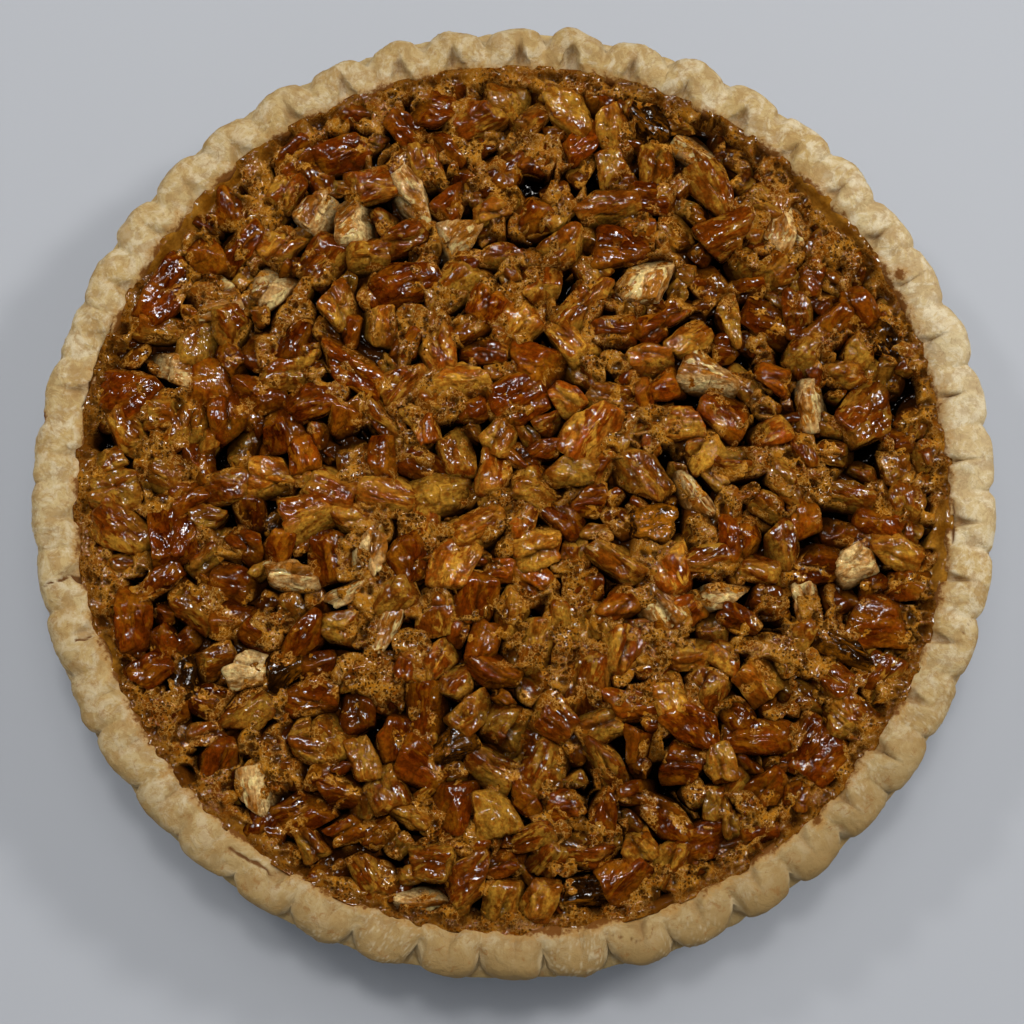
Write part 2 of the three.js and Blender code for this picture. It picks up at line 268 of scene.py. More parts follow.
# The rim's rows from the ledge over the top to the filling: radius and height at the notch, how far the row
# moves outwards on the swell, inwards in the notch and outwards in the dent, how far down in the notch and in
# the dent, how wide the dent is there as a share of its widest, and how far the middle of a flute stands up.
RIM_ROWS = np.array([
    [LEDGE_RADIUS, LEDGE_UNDERSIDE, 0.2, 0.0, 0.0, 0.0, 0.0, 1.0, 0.0],
    [125.9, 29.1, 0.3, 0.0, 0.0, 0.0, 0.0, 1.0, 0.0],
    [126.0, 30.2, 0.3, 0.0, 0.0, 0.0, 0.0, 1.0, 0.0],
    [124.3, 31.1, 2.0, 1.8, 0.0, 0.0, 0.0, 1.0, 0.0],
    [123.6, 32.2, 3.3, 2.4, 0.0, 0.0, 0.0, 1.0, 0.2],
    [123.4, 33.6, 3.6, 2.5, 0.0, 0.0, 0.0, 1.0, 0.6],
    [122.8, 35.3, 3.5, 2.3, 0.0, 0.0, 0.0, 0.5, 1.2],
    [121.4, 36.5, 3.0, 1.6, 0.0, 0.5, 0.0, 0.3, 1.5],
    [119.3, 36.9, 1.5, 0.6, 0.8, 0.6, 0.7, 0.35, 1.2],
    [117.2, 36.5, 0.2, 0.0, 2.6, 0.2, 1.9, 0.75, 0.5],
    [115.6, 35.8, 0.0, 0.0, 2.8, 0.0, 2.0, 1.1, 0.1],
    [114.4, 34.9, 0.0, 0.0, 1.8, 0.0, 1.2, 1.3, 0.0],
    [113.9, 33.8, 0.0, 0.0, 0.8, 0.0, 0.2, 1.4, 0.0],
    [113.6, 31.3, 0.0, 0.0, 0.0, 0.0, 0.0, 1.4, 0.0],
])

# Cracks in the baked rim: [angle, radius] at one end and at the other, then half the width and the depth.
CRACKS = (
    (192.4, 125.5, 191.8, 121.5, 0.22, 1.0),
    (191.8, 121.5, 191.6, 117.5, 0.36, 1.3),
    (191.6, 117.5, 193.2, 112.0, 0.60, 1.6),
    (200.0, 121.0, 199.3, 115.5, 0.30, 1.0),
    (170.5, 115.6, 156.5, 115.4, 0.32, 1.1),
    (231.5, 118.4, 239.0, 117.0, 0.34, 1.0),
    (281.0, 117.0, 286.5, 121.5, 0.22, 0.6),
    (286.5, 121.5, 287.5, 117.5, 0.20, 0.5),
    (352.0, 115.2, 358.5, 115.0, 0.30, 0.8),
    (121.0, 120.0, 125.0, 118.0, 0.22, 0.5),
    (340.0, 121.5, 344.0, 124.0, 0.22, 0.5),
    (62.0, 118.6, 66.0, 120.2, 0.2, 0.4),
)

# Syrup that ran over the rim and baked on: angle, radius and half its width. The stain inside begins at its
# own radius and ends at its foot.
SPILLS = ((171.4, 126.0, 1.5), (29.0, 117.0, 1.6), (312.0, 116.5, 1.4))
STAIN_RADIUS = 114.9
STAIN_FOOT = 31.0
NO_STAIN = -9.0

# Random values on a fixed table, looked up by cell, make every uneven surface of the pie.
TABLE_SIZE = 256
TABLE_SEED = 11
table_source = np.random.RandomState(TABLE_SEED)
STEP_TABLE = table_source.permutation(TABLE_SIZE)
VALUE_TABLE = table_source.uniform(-1, 1, TABLE_SIZE)


def cell_value(x, y, z, salt=0):
    """A fixed random value between -1 and 1 for each whole-numbered cell."""
    index = STEP_TABLE[(x + salt) % TABLE_SIZE]
    index = STEP_TABLE[(index + y) % TABLE_SIZE]
    return VALUE_TABLE[(STEP_TABLE[(index + z) % TABLE_SIZE] + salt) % TABLE_SIZE]


def ease(value, low, high):
    """0 below low, 1 above high, and a smooth step between."""
    part = np.clip((value - low) / (high - low), 0, 1)
    return part * part * (3 - 2 * part)


def noise(points, size, salt=0):
    """Smooth values between -1 and 1: the random values of a cell's eight corners, each times its share."""
    place = np.asarray(points) / size
    cell = np.floor(place).astype(int)
    part = ease(place - cell, 0, 1)
    total = 0
    for corner in np.ndindex(2, 2, 2):
        share = np.where(corner, part, 1 - part).prod(axis=-1)
        total = total + share * cell_value(*np.moveaxis(cell + corner, -1, 0), salt)
    return total


def uneven(points, *layers):
    """A sum of noises, each times its share, with its size and its salt."""
    return sum(share * noise(points, size, salt) for share, size, salt in layers)


def seeded_random(seed):
    """A small seeded generator: each draw mixes the bits of a counter into a share of one."""
    state = seed
    step = 0x6D2B79F5
    whole = 0xFFFFFFFF

    def draw():
        """The next share of one."""
        nonlocal state
        state = (state + step) & whole
        bits = ((state ^ (state >> 15)) * (state | 1)) & whole
        bits ^= (bits + (((bits ^ (bits >> 7)) * (bits | 61)) & whole)) & whole
        return ((bits ^ (bits >> 14)) & whole) / (whole + 1)

    return draw


def lerp(low, high, share):
    """The value a share of the way from low to high."""
    return low * (1 - share) + high * share


def pinched_flutes():
    """A row for each flute: its shift, its swell, its dent and its lift."""
    draw = seeded_random(FLUTE_SEED)
    return np.array([[lerp(*limits, draw()) for limits in FLUTE_RANGES] for _ in range(FLUTE_COUNT)])


def smooth_rows(rows, steps):
    """A smooth curve through each column of rows: every step weighs the four nearest rows by cubic shares."""
    padded = np.concatenate([2 * rows[:1] - rows[1:2], rows, 2 * rows[-1:] - rows[-2:-1]])
    place = np.linspace(0, len(rows) - 1, steps)
    index = np.minimum(place.astype(int), len(rows) - 2)
    part = (place - index)[:, None, None]
    before, here, after, beyond = (padded[index + step] for step in range(4))
    return 0.5 * (
        2 * here
        + (after - before) * part
        + (2 * before - 5 * here + 4 * after - beyond) * part**2
        + (3 * here - before - 3 * after + beyond) * part**3
    )


def strength_round(angle, least, peaks):
    """A strength at each angle: the least one plus a bell of its own spread and height round each peak."""
    total = np.full(np.shape(angle), least)
    for middle, spread_angle, height in peaks:
        away = (angle - middle + 180) % 360 - 180
        total = total + height * np.exp(-((away / spread_angle) ** 2))
    return total


def rim_points():
    """The fluted rim: each row's radius and height, moved by how near a column is to its flute's middle."""
    measures = RIM_ROWS.T[..., None]
    row_radius, row_height, swell_out, notch_in, dent_out, notch_down, dent_down, dent_width, rise = measures
    place = np.arange(FLUTE_COUNT * COLUMNS_PER_FLUTE) / COLUMNS_PER_FLUTE
    shift, swell_size, dent_size, lift = pinched_flutes()[np.floor(place + 0.5).astype(int) % FLUTE_COUNT].T
    gap = np.random.RandomState(GAP_SEED).uniform(0, 1, (FLUTE_COUNT, 3))[np.floor(place).astype(int)]
    from_middle = np.abs(place - np.round(place))
    near_middle = 1 - 2 * from_middle
    around = place / FLUTE_COUNT * 360 + FLUTE_TURN
    pinch = strength_round(around, LEAST_NOTCH, NOTCH_STRENGTHS)
    roundness = strength_round(around, SQUARE_SWELL, ROUND_SWELLS)
    swell = 1 - pinch * (1 - np.cos(from_middle * math.pi) ** roundness)
    swell = swell * (1 - (1 - swell_size) * (0.4 + 0.6 * pinch))
    widest = DENT_HALF_WIDTH * strength_round(around, 1.0, NARROW_DENTS)
    dent = np.clip(1 - from_middle / (widest * dent_width), 0, 1) ** 0.9 * dent_size
    dent = dent * strength_round(around, LEAST_DENT, DENT_STRENGTHS)
    notch = np.clip(1 - (0.5 - from_middle) / (NOTCH_HALF_WIDTH * (0.8 + 0.5 * gap[:, 0])), 0, 1) ** 1.1
    notch = notch * (0.75 + 0.4 * gap[:, 1]) * pinch
    dome = (np.cos(from_middle * math.pi) ** 0.8 - 0.6) * (0.35 + 0.9 * pinch) + lift * near_middle
    radius = row_radius + swell_out * swell - notch_in * notch + dent_out * dent
    height = row_height - notch_down * notch - dent_down * dent + rise * dome
    lean = (gap[:, 2] - 0.5) * 0.16 * ease(from_middle, 0.2, 0.5)
    angle = place + shift * near_middle + (row_height - 33) / 4 * lean
    angle = np.radians(angle / FLUTE_COUNT * 360 + FLUTE_TURN)
    dented = dent * dent_out / dent_out.max()
    notched = notch * notch_in / notch_in.max()
    rows = np.stack(np.broadcast_arrays(radius, height, angle, dented, notched), axis=-1)
    radius, height, angle, dented, notched = np.moveaxis(smooth_rows(rows, RIM_STEPS), -1, 0)
    return polar(radius, angle, height), dented, notched


def grid_normals(points):
    """The cross product of the steps to the next column and to the next row, at length one."""
    along = np.roll(points, -1, axis=1) - np.roll(points, 1, axis=1)
    up = np.gradient(points, axis=0)
    normal = np.cross(along, up)
    return normal / np.linalg.norm(normal, axis=-1, keepdims=True)


def crack_depths(points):
    """How deep each point lies in a crack: a bell over its distance from a line that wanders a little."""
    flat = points[..., :2] + 0.7 * np.stack([noise(points, 2.4, 31), noise(points, 2.4, 57)], axis=-1)
    deepest = np.zeros(points.shape[:-1])
    for *ends, width, depth in CRACKS:
        one, two = polar(np.array(ends[1::2]), np.radians(ends[0::2]), 0)[:, :2]
        line = two - one
        share = np.clip(((flat - one) @ line) / (line @ line), 0, 1)
        away = np.linalg.norm(flat - one - share[..., None] * line, axis=-1)
        taper = np.sin(math.pi * np.clip(share, 0.03, 0.97)) ** 0.4
        deepest = np.maximum(deepest, np.exp(-((away / (width * taper)) ** 2)) * depth * taper)
    return deepest


def make_crust():
    """The rim with its uneven baked surface, closed underneath and inside by plain rings that stay hidden."""
    rim, dented, notched = rim_points()
    normal = grid_normals(rim)
    crack = crack_depths(rim)
    layer = FLAKE_LAYERS * uneven(rim, (1.0, 6.0, 3), (0.5, 2.6, 4), (0.3, 1.3, 5))
    layer_edge = ease(layer - np.floor(layer), 0.78, 1.0)
    torn = ease(notched, 0.08, 0.5)
    flaky = np.maximum(ease(noise(rim, 15.0, 6), -0.05, 0.35), torn)
    relief = uneven(rim, (0.55, 13.0, 47), (0.60, 7.0, 7), (0.36, 3.6, 8))
    relief = relief + (0.12 + 0.18 * torn) * noise(rim, 1.6, 9)
    relief = relief + 0.18 * flaky * (layer_edge - 0.5) - crack
    shown = ease(np.arange(RIM_STEPS), 0, 3)[:, None] * ease(RIM_STEPS - np.arange(RIM_STEPS), 1, 5)[:, None]
    rim = rim + normal * (relief * shown)[..., None]
    columns = rim.shape[1]
    angle = np.arange(columns) / columns * 2 * math.pi + math.radians(FLUTE_TURN)

    def ring(radius, height):
        """A plain ring under the rim."""
        return polar(radius, angle, height)[None]

    rows = np.concatenate([
        ring(wall_radius(CRUST_OUTSIDE, CRUST_OUTSIDE), CRUST_OUTSIDE),
        ring(wall_radius(LEDGE_UNDERSIDE, CRUST_OUTSIDE), LEDGE_UNDERSIDE),
        rim,
        ring(wall_radius(CRUST_FLOOR, CRUST_INSIDE), CRUST_FLOOR),
    ])
    points = np.concatenate([rows.reshape(-1, 3), [[0, 0, CRUST_OUTSIDE], [0, 0, CRUST_FLOOR]]])
    across = np.hypot(rim[..., 0], rim[..., 1])
    inward = STAIN_RADIUS - across + uneven(rim, (1.1, 5.0, 41), (1.0, 1.8, 42))
    inward = np.where(rim[..., 2] > STAIN_FOOT, inward, NO_STAIN)
    for spill_angle, spill_radius, spill_size in SPILLS:
        spot = polar(spill_radius, math.radians(spill_angle), 0)[:2]
        away = np.linalg.norm(rim[..., :2] - spot, axis=-1) + 0.5 * noise(rim, 1.6, 44)
        inward = np.maximum(inward, 2.0 * (1.2 - away / spill_size))
    # Browning and painted shade round the rim, heavier towards its outer edge. The brown in the dents is
    # partly painted shade.
    turn = np.degrees(np.arctan2(rim[..., 1], rim[..., 0]))
    browning_and_shade = strength_round(turn, LEAST_BROWNING_AND_SHADE, BROWNING_AND_SHADE_STRENGTHS)
    shown_values = {
        "crack": np.clip(crack, 0, 1),
        "powder": flaky * layer_edge,
        "torn": torn * (0.6 + 0.6 * noise(rim, 2.2, 45)),
        "inward": inward,
        "toast_and_shade": dented * (0.8 + 0.5 * noise(rim, 3.0, 43)),
        "browning_and_shade": browning_and_shade * (0.65 + 0.5 * ease(across, 116.0, 125.0)),
    }
    values = {key: np.pad(value.ravel(), (2 * columns, columns + 2)) for key, value in shown_values.items()}
    return points, closed_faces(len(rows), columns), values


def stored(tree, name):
    """The value kept on the piece's points under a name."""
    return node(tree, "ShaderNodeAttribute", attribute_name=name).outputs["Fac"]


def own_height(tree):
    """How high the place is on the piece, in metres."""
    place = node(tree, "ShaderNodeTexCoord").outputs["Object"]
    return node(tree, "ShaderNodeSeparateXYZ", {0: place}).outputs["Z"]


def times(tree, one, other):
    """One value times another."""
    return maths(tree, "MULTIPLY", one, other)


def mix(tree, share, one, other):
    """A colour between one and other."""
    one, other = ((*colour, 1) if isinstance(colour, tuple) else colour for colour in (one, other))
    return node(tree, "ShaderNodeMix", {0: share, 6: one, 7: other}, data_type="RGBA").outputs[2]


def layered(tree, colour, layers):
    """A colour with others laid over it, one after another.

    Each layer is a pattern, the values where it starts and where it is full, its share there and its colour.
    """
    for pattern, start, full, most, other in layers:
        colour = mix(tree, spread(tree, pattern, start, full, 0.0, most), colour, other)
    return colour


def make_pastry():
    """Pale shortcrust: cream and tan clouds, browner where it baked hardest, and stained by syrup inside.
    Painted shade darkens its front, its browned dents and its relief's hollows, and painted light its crests.
    """
    look, tree = blank_look("Baked shortcrust")
    browning_and_shade = stored(tree, "browning_and_shade")
    clouds = spread(tree, texture(tree, 10.0, detail=4.0, roughness=0.55, distortion=0.5), 0.38, 0.62)
    fine = texture(tree, 0.8, detail=4.0, roughness=0.7)
    rough = texture(tree, 4.4, detail=6.0, roughness=0.66, distortion=0.5)
    pale, tan, baked = (
        times(
            tree,
            spread(tree, texture(tree, size, detail=6.0, roughness=rugged, distortion=bent), *limits),
            spread(tree, browning_and_shade, *by_browning_and_shade),
        )
        for size, rugged, bent, limits, by_browning_and_shade in (
            (6.0, 0.70, 0.8, (0.50, 0.57, 0.0, 0.60), (0.1, 0.9, 1.0, 0.45)),
            (4.6, 0.74, 0.8, (0.50, 0.58, 0.0, 0.70), (0.1, 0.6, 0.6, 1.0)),
            (2.8, 0.74, 0.6, (0.56, 0.64, 0.0, 0.75), (0.1, 0.9, 0.5, 1.0)),
        )
    )
    # Brown in the dents: partly browning, partly painted shade in their hollows.
    toast_and_shade = times(tree, stored(tree, "toast_and_shade"), spread(tree, fine, 0.35, 0.65, 0.6, 1.1))
    frayed = spread(tree, texture(tree, 1.0, roughness=0.6), 0.3, 0.7, -0.8, 0.8)
    soaked = maths(tree, "ADD", stored(tree, "inward"), frayed)
    wavy = spread(tree, texture(tree, 6.0), 0.3, 0.7, -0.0009, 0.0009)
    upright = maths(tree, "ADD", own_height(tree), wavy)
    colour = layered(tree, mix(tree, clouds, (0.56, 0.385, 0.150), (0.65, 0.500, 0.25)), (
        (pale, 0.0, 1.0, 1.0, (0.80, 0.700, 0.49)),
        (tan, 0.0, 1.0, 1.0, (0.42, 0.235, 0.070)),
        # The relief's hollows are painted darker and its crests paler: painted shade and painted light.
        (rough, 0.50, 0.43, 0.55, (0.38, 0.220, 0.075)),
        (rough, 0.54, 0.61, 0.40, (0.83, 0.730, 0.52)),
        (browning_and_shade, 0.0, 1.25, 1.0, (0.32, 0.205, 0.075)),
        (browning_and_shade, 0.05, -0.3, 0.40, (0.78, 0.700, 0.51)),
        (baked, 0.0, 1.0, 1.0, (0.29, 0.140, 0.038)),
        (fine, 0.54, 0.72, 0.35, (0.34, 0.215, 0.090)),
        (stored(tree, "powder"), 0.0, 1.0, 0.35, (0.74, 0.66, 0.46)),
        (stored(tree, "torn"), 0.0, 1.25, 0.75, (0.62, 0.49, 0.28)),
        (toast_and_shade, 0.0, 1.0, 1.0, (0.25, 0.125, 0.042)),
        (soaked, -1.6, 0.3, 0.60, (0.46, 0.230, 0.050)),
        (soaked, 0.0, 1.1, 0.95, (0.17, 0.053, 0.003)),
        (upright, 0.0312, 0.0292, 0.75, (0.50, 0.37, 0.16)),
        (stored(tree, "crack"), 0.12, 0.6, 1.0, (0.15, 0.060, 0.014)),
    ))
    return finish_look(look, {
        "Base Color": colour,
        "Roughness": spread(tree, fine, 0.3, 0.7, 0.58, 0.82),
        "Normal": bump(tree, fine, 0.6, 0.16, bump(tree, rough, 0.8, 0.9)),
        "Specular IOR Level": 0.15,
    })


crust_points, crust_faces, crust_values = make_crust()
crust = piece("pie_crust", make_pastry(), crust_points, crust_faces, **crust_values)
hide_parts("crust")

# ----------------------------------------------------------------------------------------------------
# The pecans. Halves chopped into blocks and pressed into the custard, cut faces and skins at every angle, all
# baked under the syrup. Nearly all lie where their plain solids do, about a hundred of them at other heights.

FILLING_FLOOR = CRUST_FLOOR + CLEARANCE
FILLING_OUTSIDE = CRUST_INSIDE + CLEARANCE
CUSTARD_TOP = 32.4
NUT_SEED = 1875
SPIRAL_SITES = 345
GOLDEN_ANGLE = math.pi * (3 - math.sqrt(5))
SITE_JITTER = 5.0
SPREAD_RADIUS = 109.0
NUT_LIMIT_RADIUS = 112.2
NUT_LENGTH = (9.5, 15)
NUT_SLENDERNESS = (0.58, 0.82)
NUT_PROUD = (2.6, 5.2)
NUT_TILT = 11.0
SITE_CLOSENESS = 0.75
CLOSENESS = 0.86
SETTLING_ROUNDS = 14
KIND_SEED = 77
RUSSET_CHANCE = 0.4
CUT_CHANCE = 0.55
FLESH_UP_CHANCE = 0.22

CHESTNUT, RUSSET, AMBER, GOLDEN, CREAM, BURNT = range(6)

# The largest and the palest pieces: x, y, length, width, turn, colour, and the way a pale cut faces, if any.
SET_NUTS = (
    (-73, 66, 17, 11, 50, CHESTNUT, 140), (-63, 66, 13, 8, 45, GOLDEN, 60),
    (-96, 55, 19, 11, 52, CHESTNUT, None), (-80, 52, 14, 12, 10, CREAM, 160),
    (-65, 54, 15, 9, 50, CREAM, 60), (-45, 91, 16, 10, 25, CHESTNUT, None),
    (-40, 82, 15, 9, 20, AMBER, 200), (-28, 78, 17, 11, -45, CREAM, 215),
    (-52, 75, 14, 9, 55, CREAM, 330), (-43, 72, 14, 12, 30, CREAM, 0),
    (-17, 68, 15, 11, 50, CREAM, 200), (-4, 86, 17, 10, 15, CHESTNUT, None),
    (-38, 63, 12, 9, 10, GOLDEN, -90), (-51, 61, 16, 12, 50, AMBER, None),
    (-28, 56, 18, 11, 25, CHESTNUT, None), (-17, 54, 17, 10, 40, GOLDEN, -50),
    (-47, 49, 11, 10, -60, GOLDEN, 0), (-93, 42, 15, 8, -5, GOLDEN, -90),
    (-90, 32, 16, 8, -10, CREAM, 180), (-105, 26, 15, 13, 30, CHESTNUT, None),
    (-95, 20, 11, 11, 0, GOLDEN, 180), (-101, 13, 16, 8, -45, GOLDEN, -60),
    (-59, 44, 18, 11, 65, CHESTNUT, None), (-64, 2, 14, 11, -20, GOLDEN, -70),
    (-43, 33, 20, 12, -35, CHESTNUT, 55), (-36, 44, 12, 10, 80, GOLDEN, 180),
    (-20, 38, 15, 9, -75, AMBER, 150), (-13, 29, 16, 8, 0, GOLDEN, -90),
    (0, 23, 17, 12, 30, CHESTNUT, None), (-29, 27, 14, 10, 45, AMBER, -45),
    (-34, 8, 12, 8, 75, CHESTNUT, 0), (-34, -3, 16, 11, -15, GOLDEN, -90),
    (-19, -2, 15, 9, 10, GOLDEN, None), (-9, -11, 16, 9, 20, GOLDEN, -60),
    (-103, -11, 17, 11, -35, AMBER, None), (-89, -14, 15, 12, -80, CHESTNUT, None),
    (-58, -24, 15, 7, -3, CREAM, -90), (-93, -25, 15, 6, 45, AMBER, None),
    (-99, -35, 16, 9, -80, AMBER, None), (-84, -32, 15, 10, -35, AMBER, None),
    (-65, -38, 12, 10, -50, CHESTNUT, -20), (-38, -18, 15, 7, 85, CREAM, 180),
    (-44, -28, 13, 4, 25, CREAM, None), (-35, -38, 16, 7, 68, CREAM, 160),
    (-42, -48, 13, 10, 10, GOLDEN, 180), (-52, -56, 14, 12, -15, AMBER, -80),
    (-79, -75, 16, 10, 80, AMBER, None), (-66, -78, 16, 10, -80, CREAM, 10),
    (-54, -84, 14, 11, 25, CHESTNUT, 60), (-33, -78, 14, 9, -60, AMBER, 150),
    (-7, -73, 16, 9, -30, AMBER, -120), (-21, -96, 13, 12, 10, AMBER, 90),
    (-23, -107, 14, 6, 0, CREAM, 90), (-37, -102, 13, 11, -60, AMBER, 30),
    (25, 76, 17, 11, 15, GOLDEN, -75), (54, 81, 16, 9, -60, AMBER, 200),
    (57, 68, 16, 11, 25, AMBER, None), (36, 57, 15, 11, 60, CREAM, 100),
    (15, 41, 15, 10, -50, GOLDEN, 40), (19, 50, 15, 11, 60, AMBER, None),
    (26, 42, 12, 9, 5, AMBER, -90), (57, 45, 16, 5, -80, GOLDEN, None),
    (52, 29, 14, 11, -20, CREAM, -90), (20, 15, 17, 13, 65, AMBER, None),
    (33, 3, 16, 12, -50, GOLDEN, 200), (46, -2, 14, 7, -55, CREAM, 200),
    (61, 7, 19, 9, 0, AMBER, 90), (68, 44, 16, 9, -20, CHESTNUT, None),
    (100, 38, 12, 7, -50, BURNT, None), (79, 23, 14, 7, -80, CREAM, 0),
    (93, 19, 16, 13, 45, AMBER, None), (86, -2, 17, 10, -10, AMBER, -90),
    (4, -42, 16, 11, 80, GOLDEN, None), (18, -52, 18, 12, 80, AMBER, None),
    (18, -26, 15, 10, 80, AMBER, 90), (28, -19, 16, 9, -35, GOLDEN, 60),
    (37, -30, 14, 10, -55, CREAM, 190), (27, -42, 12, 11, 75, AMBER, 180),
    (46, -44, 13, 9, 10, GOLDEN, 90), (31, -57, 16, 7, 0, AMBER, None),
    (50, -53, 13, 12, 60, AMBER, 200), (47, -62, 18, 10, -40, CHESTNUT, None),
    (9, -60, 14, 12, -50, AMBER, 160), (55, -28, 14, 6, 15, CREAM, 60),
    (77, -31, 16, 7, -78, CREAM, 0), (94, -35, 15, 14, 0, AMBER, None),
    (86, -42, 17, 8, -35, BURNT, None), (64, -51, 13, 11, -40, GOLDEN, 45),
    (82, -49, 18, 8, -35, AMBER, None), (99, -53, 14, 9, 60, AMBER, -40),
    (89, -62, 14, 11, -45, GOLDEN, -60), (75, -66, 15, 9, 60, CHESTNUT, 150),
    (82, -74, 18, 12, 40, AMBER, None), (8, -74, 13, 12, 60, AMBER, 10),
    (24, -73, 19, 9, -55, AMBER, 200), (44, -72, 13, 11, 0, CHESTNUT, 60),
    (39, -86, 18, 9, -45, AMBER, None), (18, -94, 15, 8, 0, AMBER, None),
    (19, -104, 15, 7, 5, BURNT, None),
)

# Open gaps between the nuts: x, y and radius.
GAPS = (
    (-71, 28, 3.6), (-36, 24, 2.6), (-26, 94, 3.4), (-36, 77, 3.0), (-11, 73, 3.4), (-6, 62, 3.0),
    (5, 82, 3.6), (15, 83, 3.2), (16, 94, 2.6), (24, 101, 2.4), (26, 57, 3.0), (11, 35, 3.2),
    (61, 34, 3.0), (40, 8, 3.0), (7, -6, 3.4), (93, 10, 3.2), (-11, -27, 4.2), (3, -21, 3.6),
    (9, -17, 3.0), (-10, -42, 3.2), (37, -76, 3.4), (22, -82, 2.8), (-32, -99, 3.4), (38, -107, 2.6),
    (99, -24, 2.8), (109, -14, 3.0), (-108, 13, 3.4), (-85, -22, 3.4), (-85, -75, 2.6), (-57, 74, 3.0),
)

# Pieces tucked in lower down, between the others. A stance is the turn, the height that stands proud and two
# tilts, each as a middle and the most that it departs from it.
TUCKED_RADIUS = 109.5
TUCKED_SMALLEST = 1.2
TUCKED_MOST = 300
TUCKED_LENGTH = 13.0
TUCKED_SLENDERNESS = (0.55, 0.85)
TUCKED_STANCE = ((0, 90), (2.0, 1.1), (0, 16), (0, 16))


def scattered_nuts():
    """Rows of x, y, length, width, turn, set or not: set pieces, then one for each free site of a spiral."""
    rows = [(x, y, length, width, turn, 1) for x, y, length, width, turn, _, _ in SET_NUTS]
    fixed = np.array(rows, float)
    fixed_reach = (fixed[:, 2] + fixed[:, 3]) / 4
    draw = seeded_random(NUT_SEED)
    for site in range(SPIRAL_SITES):
        radius = SPREAD_RADIUS * math.sqrt((site + 0.5) / SPIRAL_SITES)
        angle = site * GOLDEN_ANGLE
        x = radius * math.cos(angle) + SITE_JITTER * (draw() - 0.5)
        y = radius * math.sin(angle) + SITE_JITTER * (draw() - 0.5)
        length = lerp(*NUT_LENGTH, draw())
        width = length * lerp(*NUT_SLENDERNESS, draw())
        turn = 180 * draw()
        apart = np.hypot(fixed[:, 0] - x, fixed[:, 1] - y)
        if np.all(apart >= ((length + width) / 4 + fixed_reach) * SITE_CLOSENESS):
            rows.append((x, y, length, width, turn, 0))
    return np.array(rows, float), draw


def settle(nuts):
    """Pushes pieces that overlap apart, a little at a time, and keeps all of them inside the crust."""
    reach = (nuts[:, 2] + nuts[:, 3]) / 4
    is_set = nuts[:, 5] > 0
    for _ in range(SETTLING_ROUNDS):
        step = nuts[:, None, :2] - nuts[None, :, :2]
        apart = np.linalg.norm(step, axis=-1) + np.eye(len(nuts)) * 1e9
        overlap = np.maximum((reach[:, None] + reach) * CLOSENESS - apart, 0)
        share = np.where(is_set[None, :], 1.0, 0.5)
        push = (step / apart[..., None] * (overlap * share)[..., None]).sum(axis=1)
        push[is_set] = 0
        nuts[:, :2] += push
        radius = np.hypot(nuts[:, 0], nuts[:, 1])
        slant = np.radians(nuts[:, 4]) - np.arctan2(nuts[:, 1], nuts[:, 0])
        outwards = np.hypot(nuts[:, 2] * np.cos(slant), nuts[:, 3] * np.sin(slant)) / 2
        nuts[:, :2] *= np.minimum(1, (NUT_LIMIT_RADIUS - outwards) / radius)[:, None]


nuts, draw_next = scattered_nuts()
settle(nuts)
stance = [(lerp(*NUT_PROUD, draw_next()), draw_next() * 2 - 1, draw_next() * 2 - 1) for _ in nuts]
stance = np.array(stance) * [1, NUT_TILT, NUT_TILT]


def tucked_nuts(dice):
    """Smaller pieces for the open places: each goes where the gap is widest, until that one is filled."""
    line = np.arange(-TUCKED_RADIUS, TUCKED_RADIUS + 1, 1.0)
    x, y = (axis.ravel() for axis in np.meshgrid(line, line))
    inside = np.hypot(x, y) < TUCKED_RADIUS
    x, y = x[inside], y[inside]
    reach = (nuts[:, 2] + nuts[:, 3]) / 4
    gap = (np.hypot(x[:, None] - nuts[:, 0], y[:, None] - nuts[:, 1]) - reach).min(axis=1)
    for gap_x, gap_y, gap_radius in GAPS:
        gap = np.minimum(gap, np.hypot(x - gap_x, y - gap_y) - gap_radius)
    rows = []
    while gap.max() > TUCKED_SMALLEST and len(rows) < TUCKED_MOST:
        widest = int(gap.argmax())
        length = min(TUCKED_LENGTH, 2.4 * gap[widest] + 3.2) * dice.uniform(0.85, 1.15)
        width = length * dice.uniform(*TUCKED_SLENDERNESS)
        draws = dice.uniform(-1, 1, 4)
        stance = [middle + most * share for (middle, most), share in zip(TUCKED_STANCE, draws)]
        rows.append((x[widest], y[widest], length, width, *stance))
        gap = np.minimum(gap, np.hypot(x - x[widest], y - y[widest]) - (length + width) / 4)
    return np.array(rows)


def cube_sphere(steps):
    """Directions on a sphere: a cube's lattice points, spaced by equal angles and drawn to length one."""
    axis = np.arange(steps + 1)
    sides = []
    for way in range(3):
        for level in (0, steps):
            one, two = np.meshgrid(axis, axis, indexing="ij")
            side = np.full((steps + 1, steps + 1, 3), level)
            side[..., (way + 1) % 3] = one
            side[..., (way + 2) % 3] = two
            sides.append(side)
    lattice = np.stack(sides)
    unique, inverse = np.unique(lattice.reshape(-1, 3), axis=0, return_inverse=True)
    faces = squares(inverse.reshape(6, steps + 1, steps + 1))
    faces[0::2] = faces[0::2, ..., ::-1]
    spaced = np.tan((unique / steps * 2 - 1) * math.pi / 4)
    return spaced / np.linalg.norm(spaced, axis=1, keepdims=True), faces.reshape(-1, 4)


def turn_about(points, degrees, one, two):
    """Turns each row of points from axis one towards axis two by that row's own angle."""
    cosine, sine = np.cos(np.radians(degrees))[:, None], np.sin(np.radians(degrees))[:, None]
    turned = points.copy()
    turned[..., one] = points[..., one] * cosine - points[..., two] * sine
    turned[..., two] = points[..., one] * sine + points[..., two] * cosine
    return turned


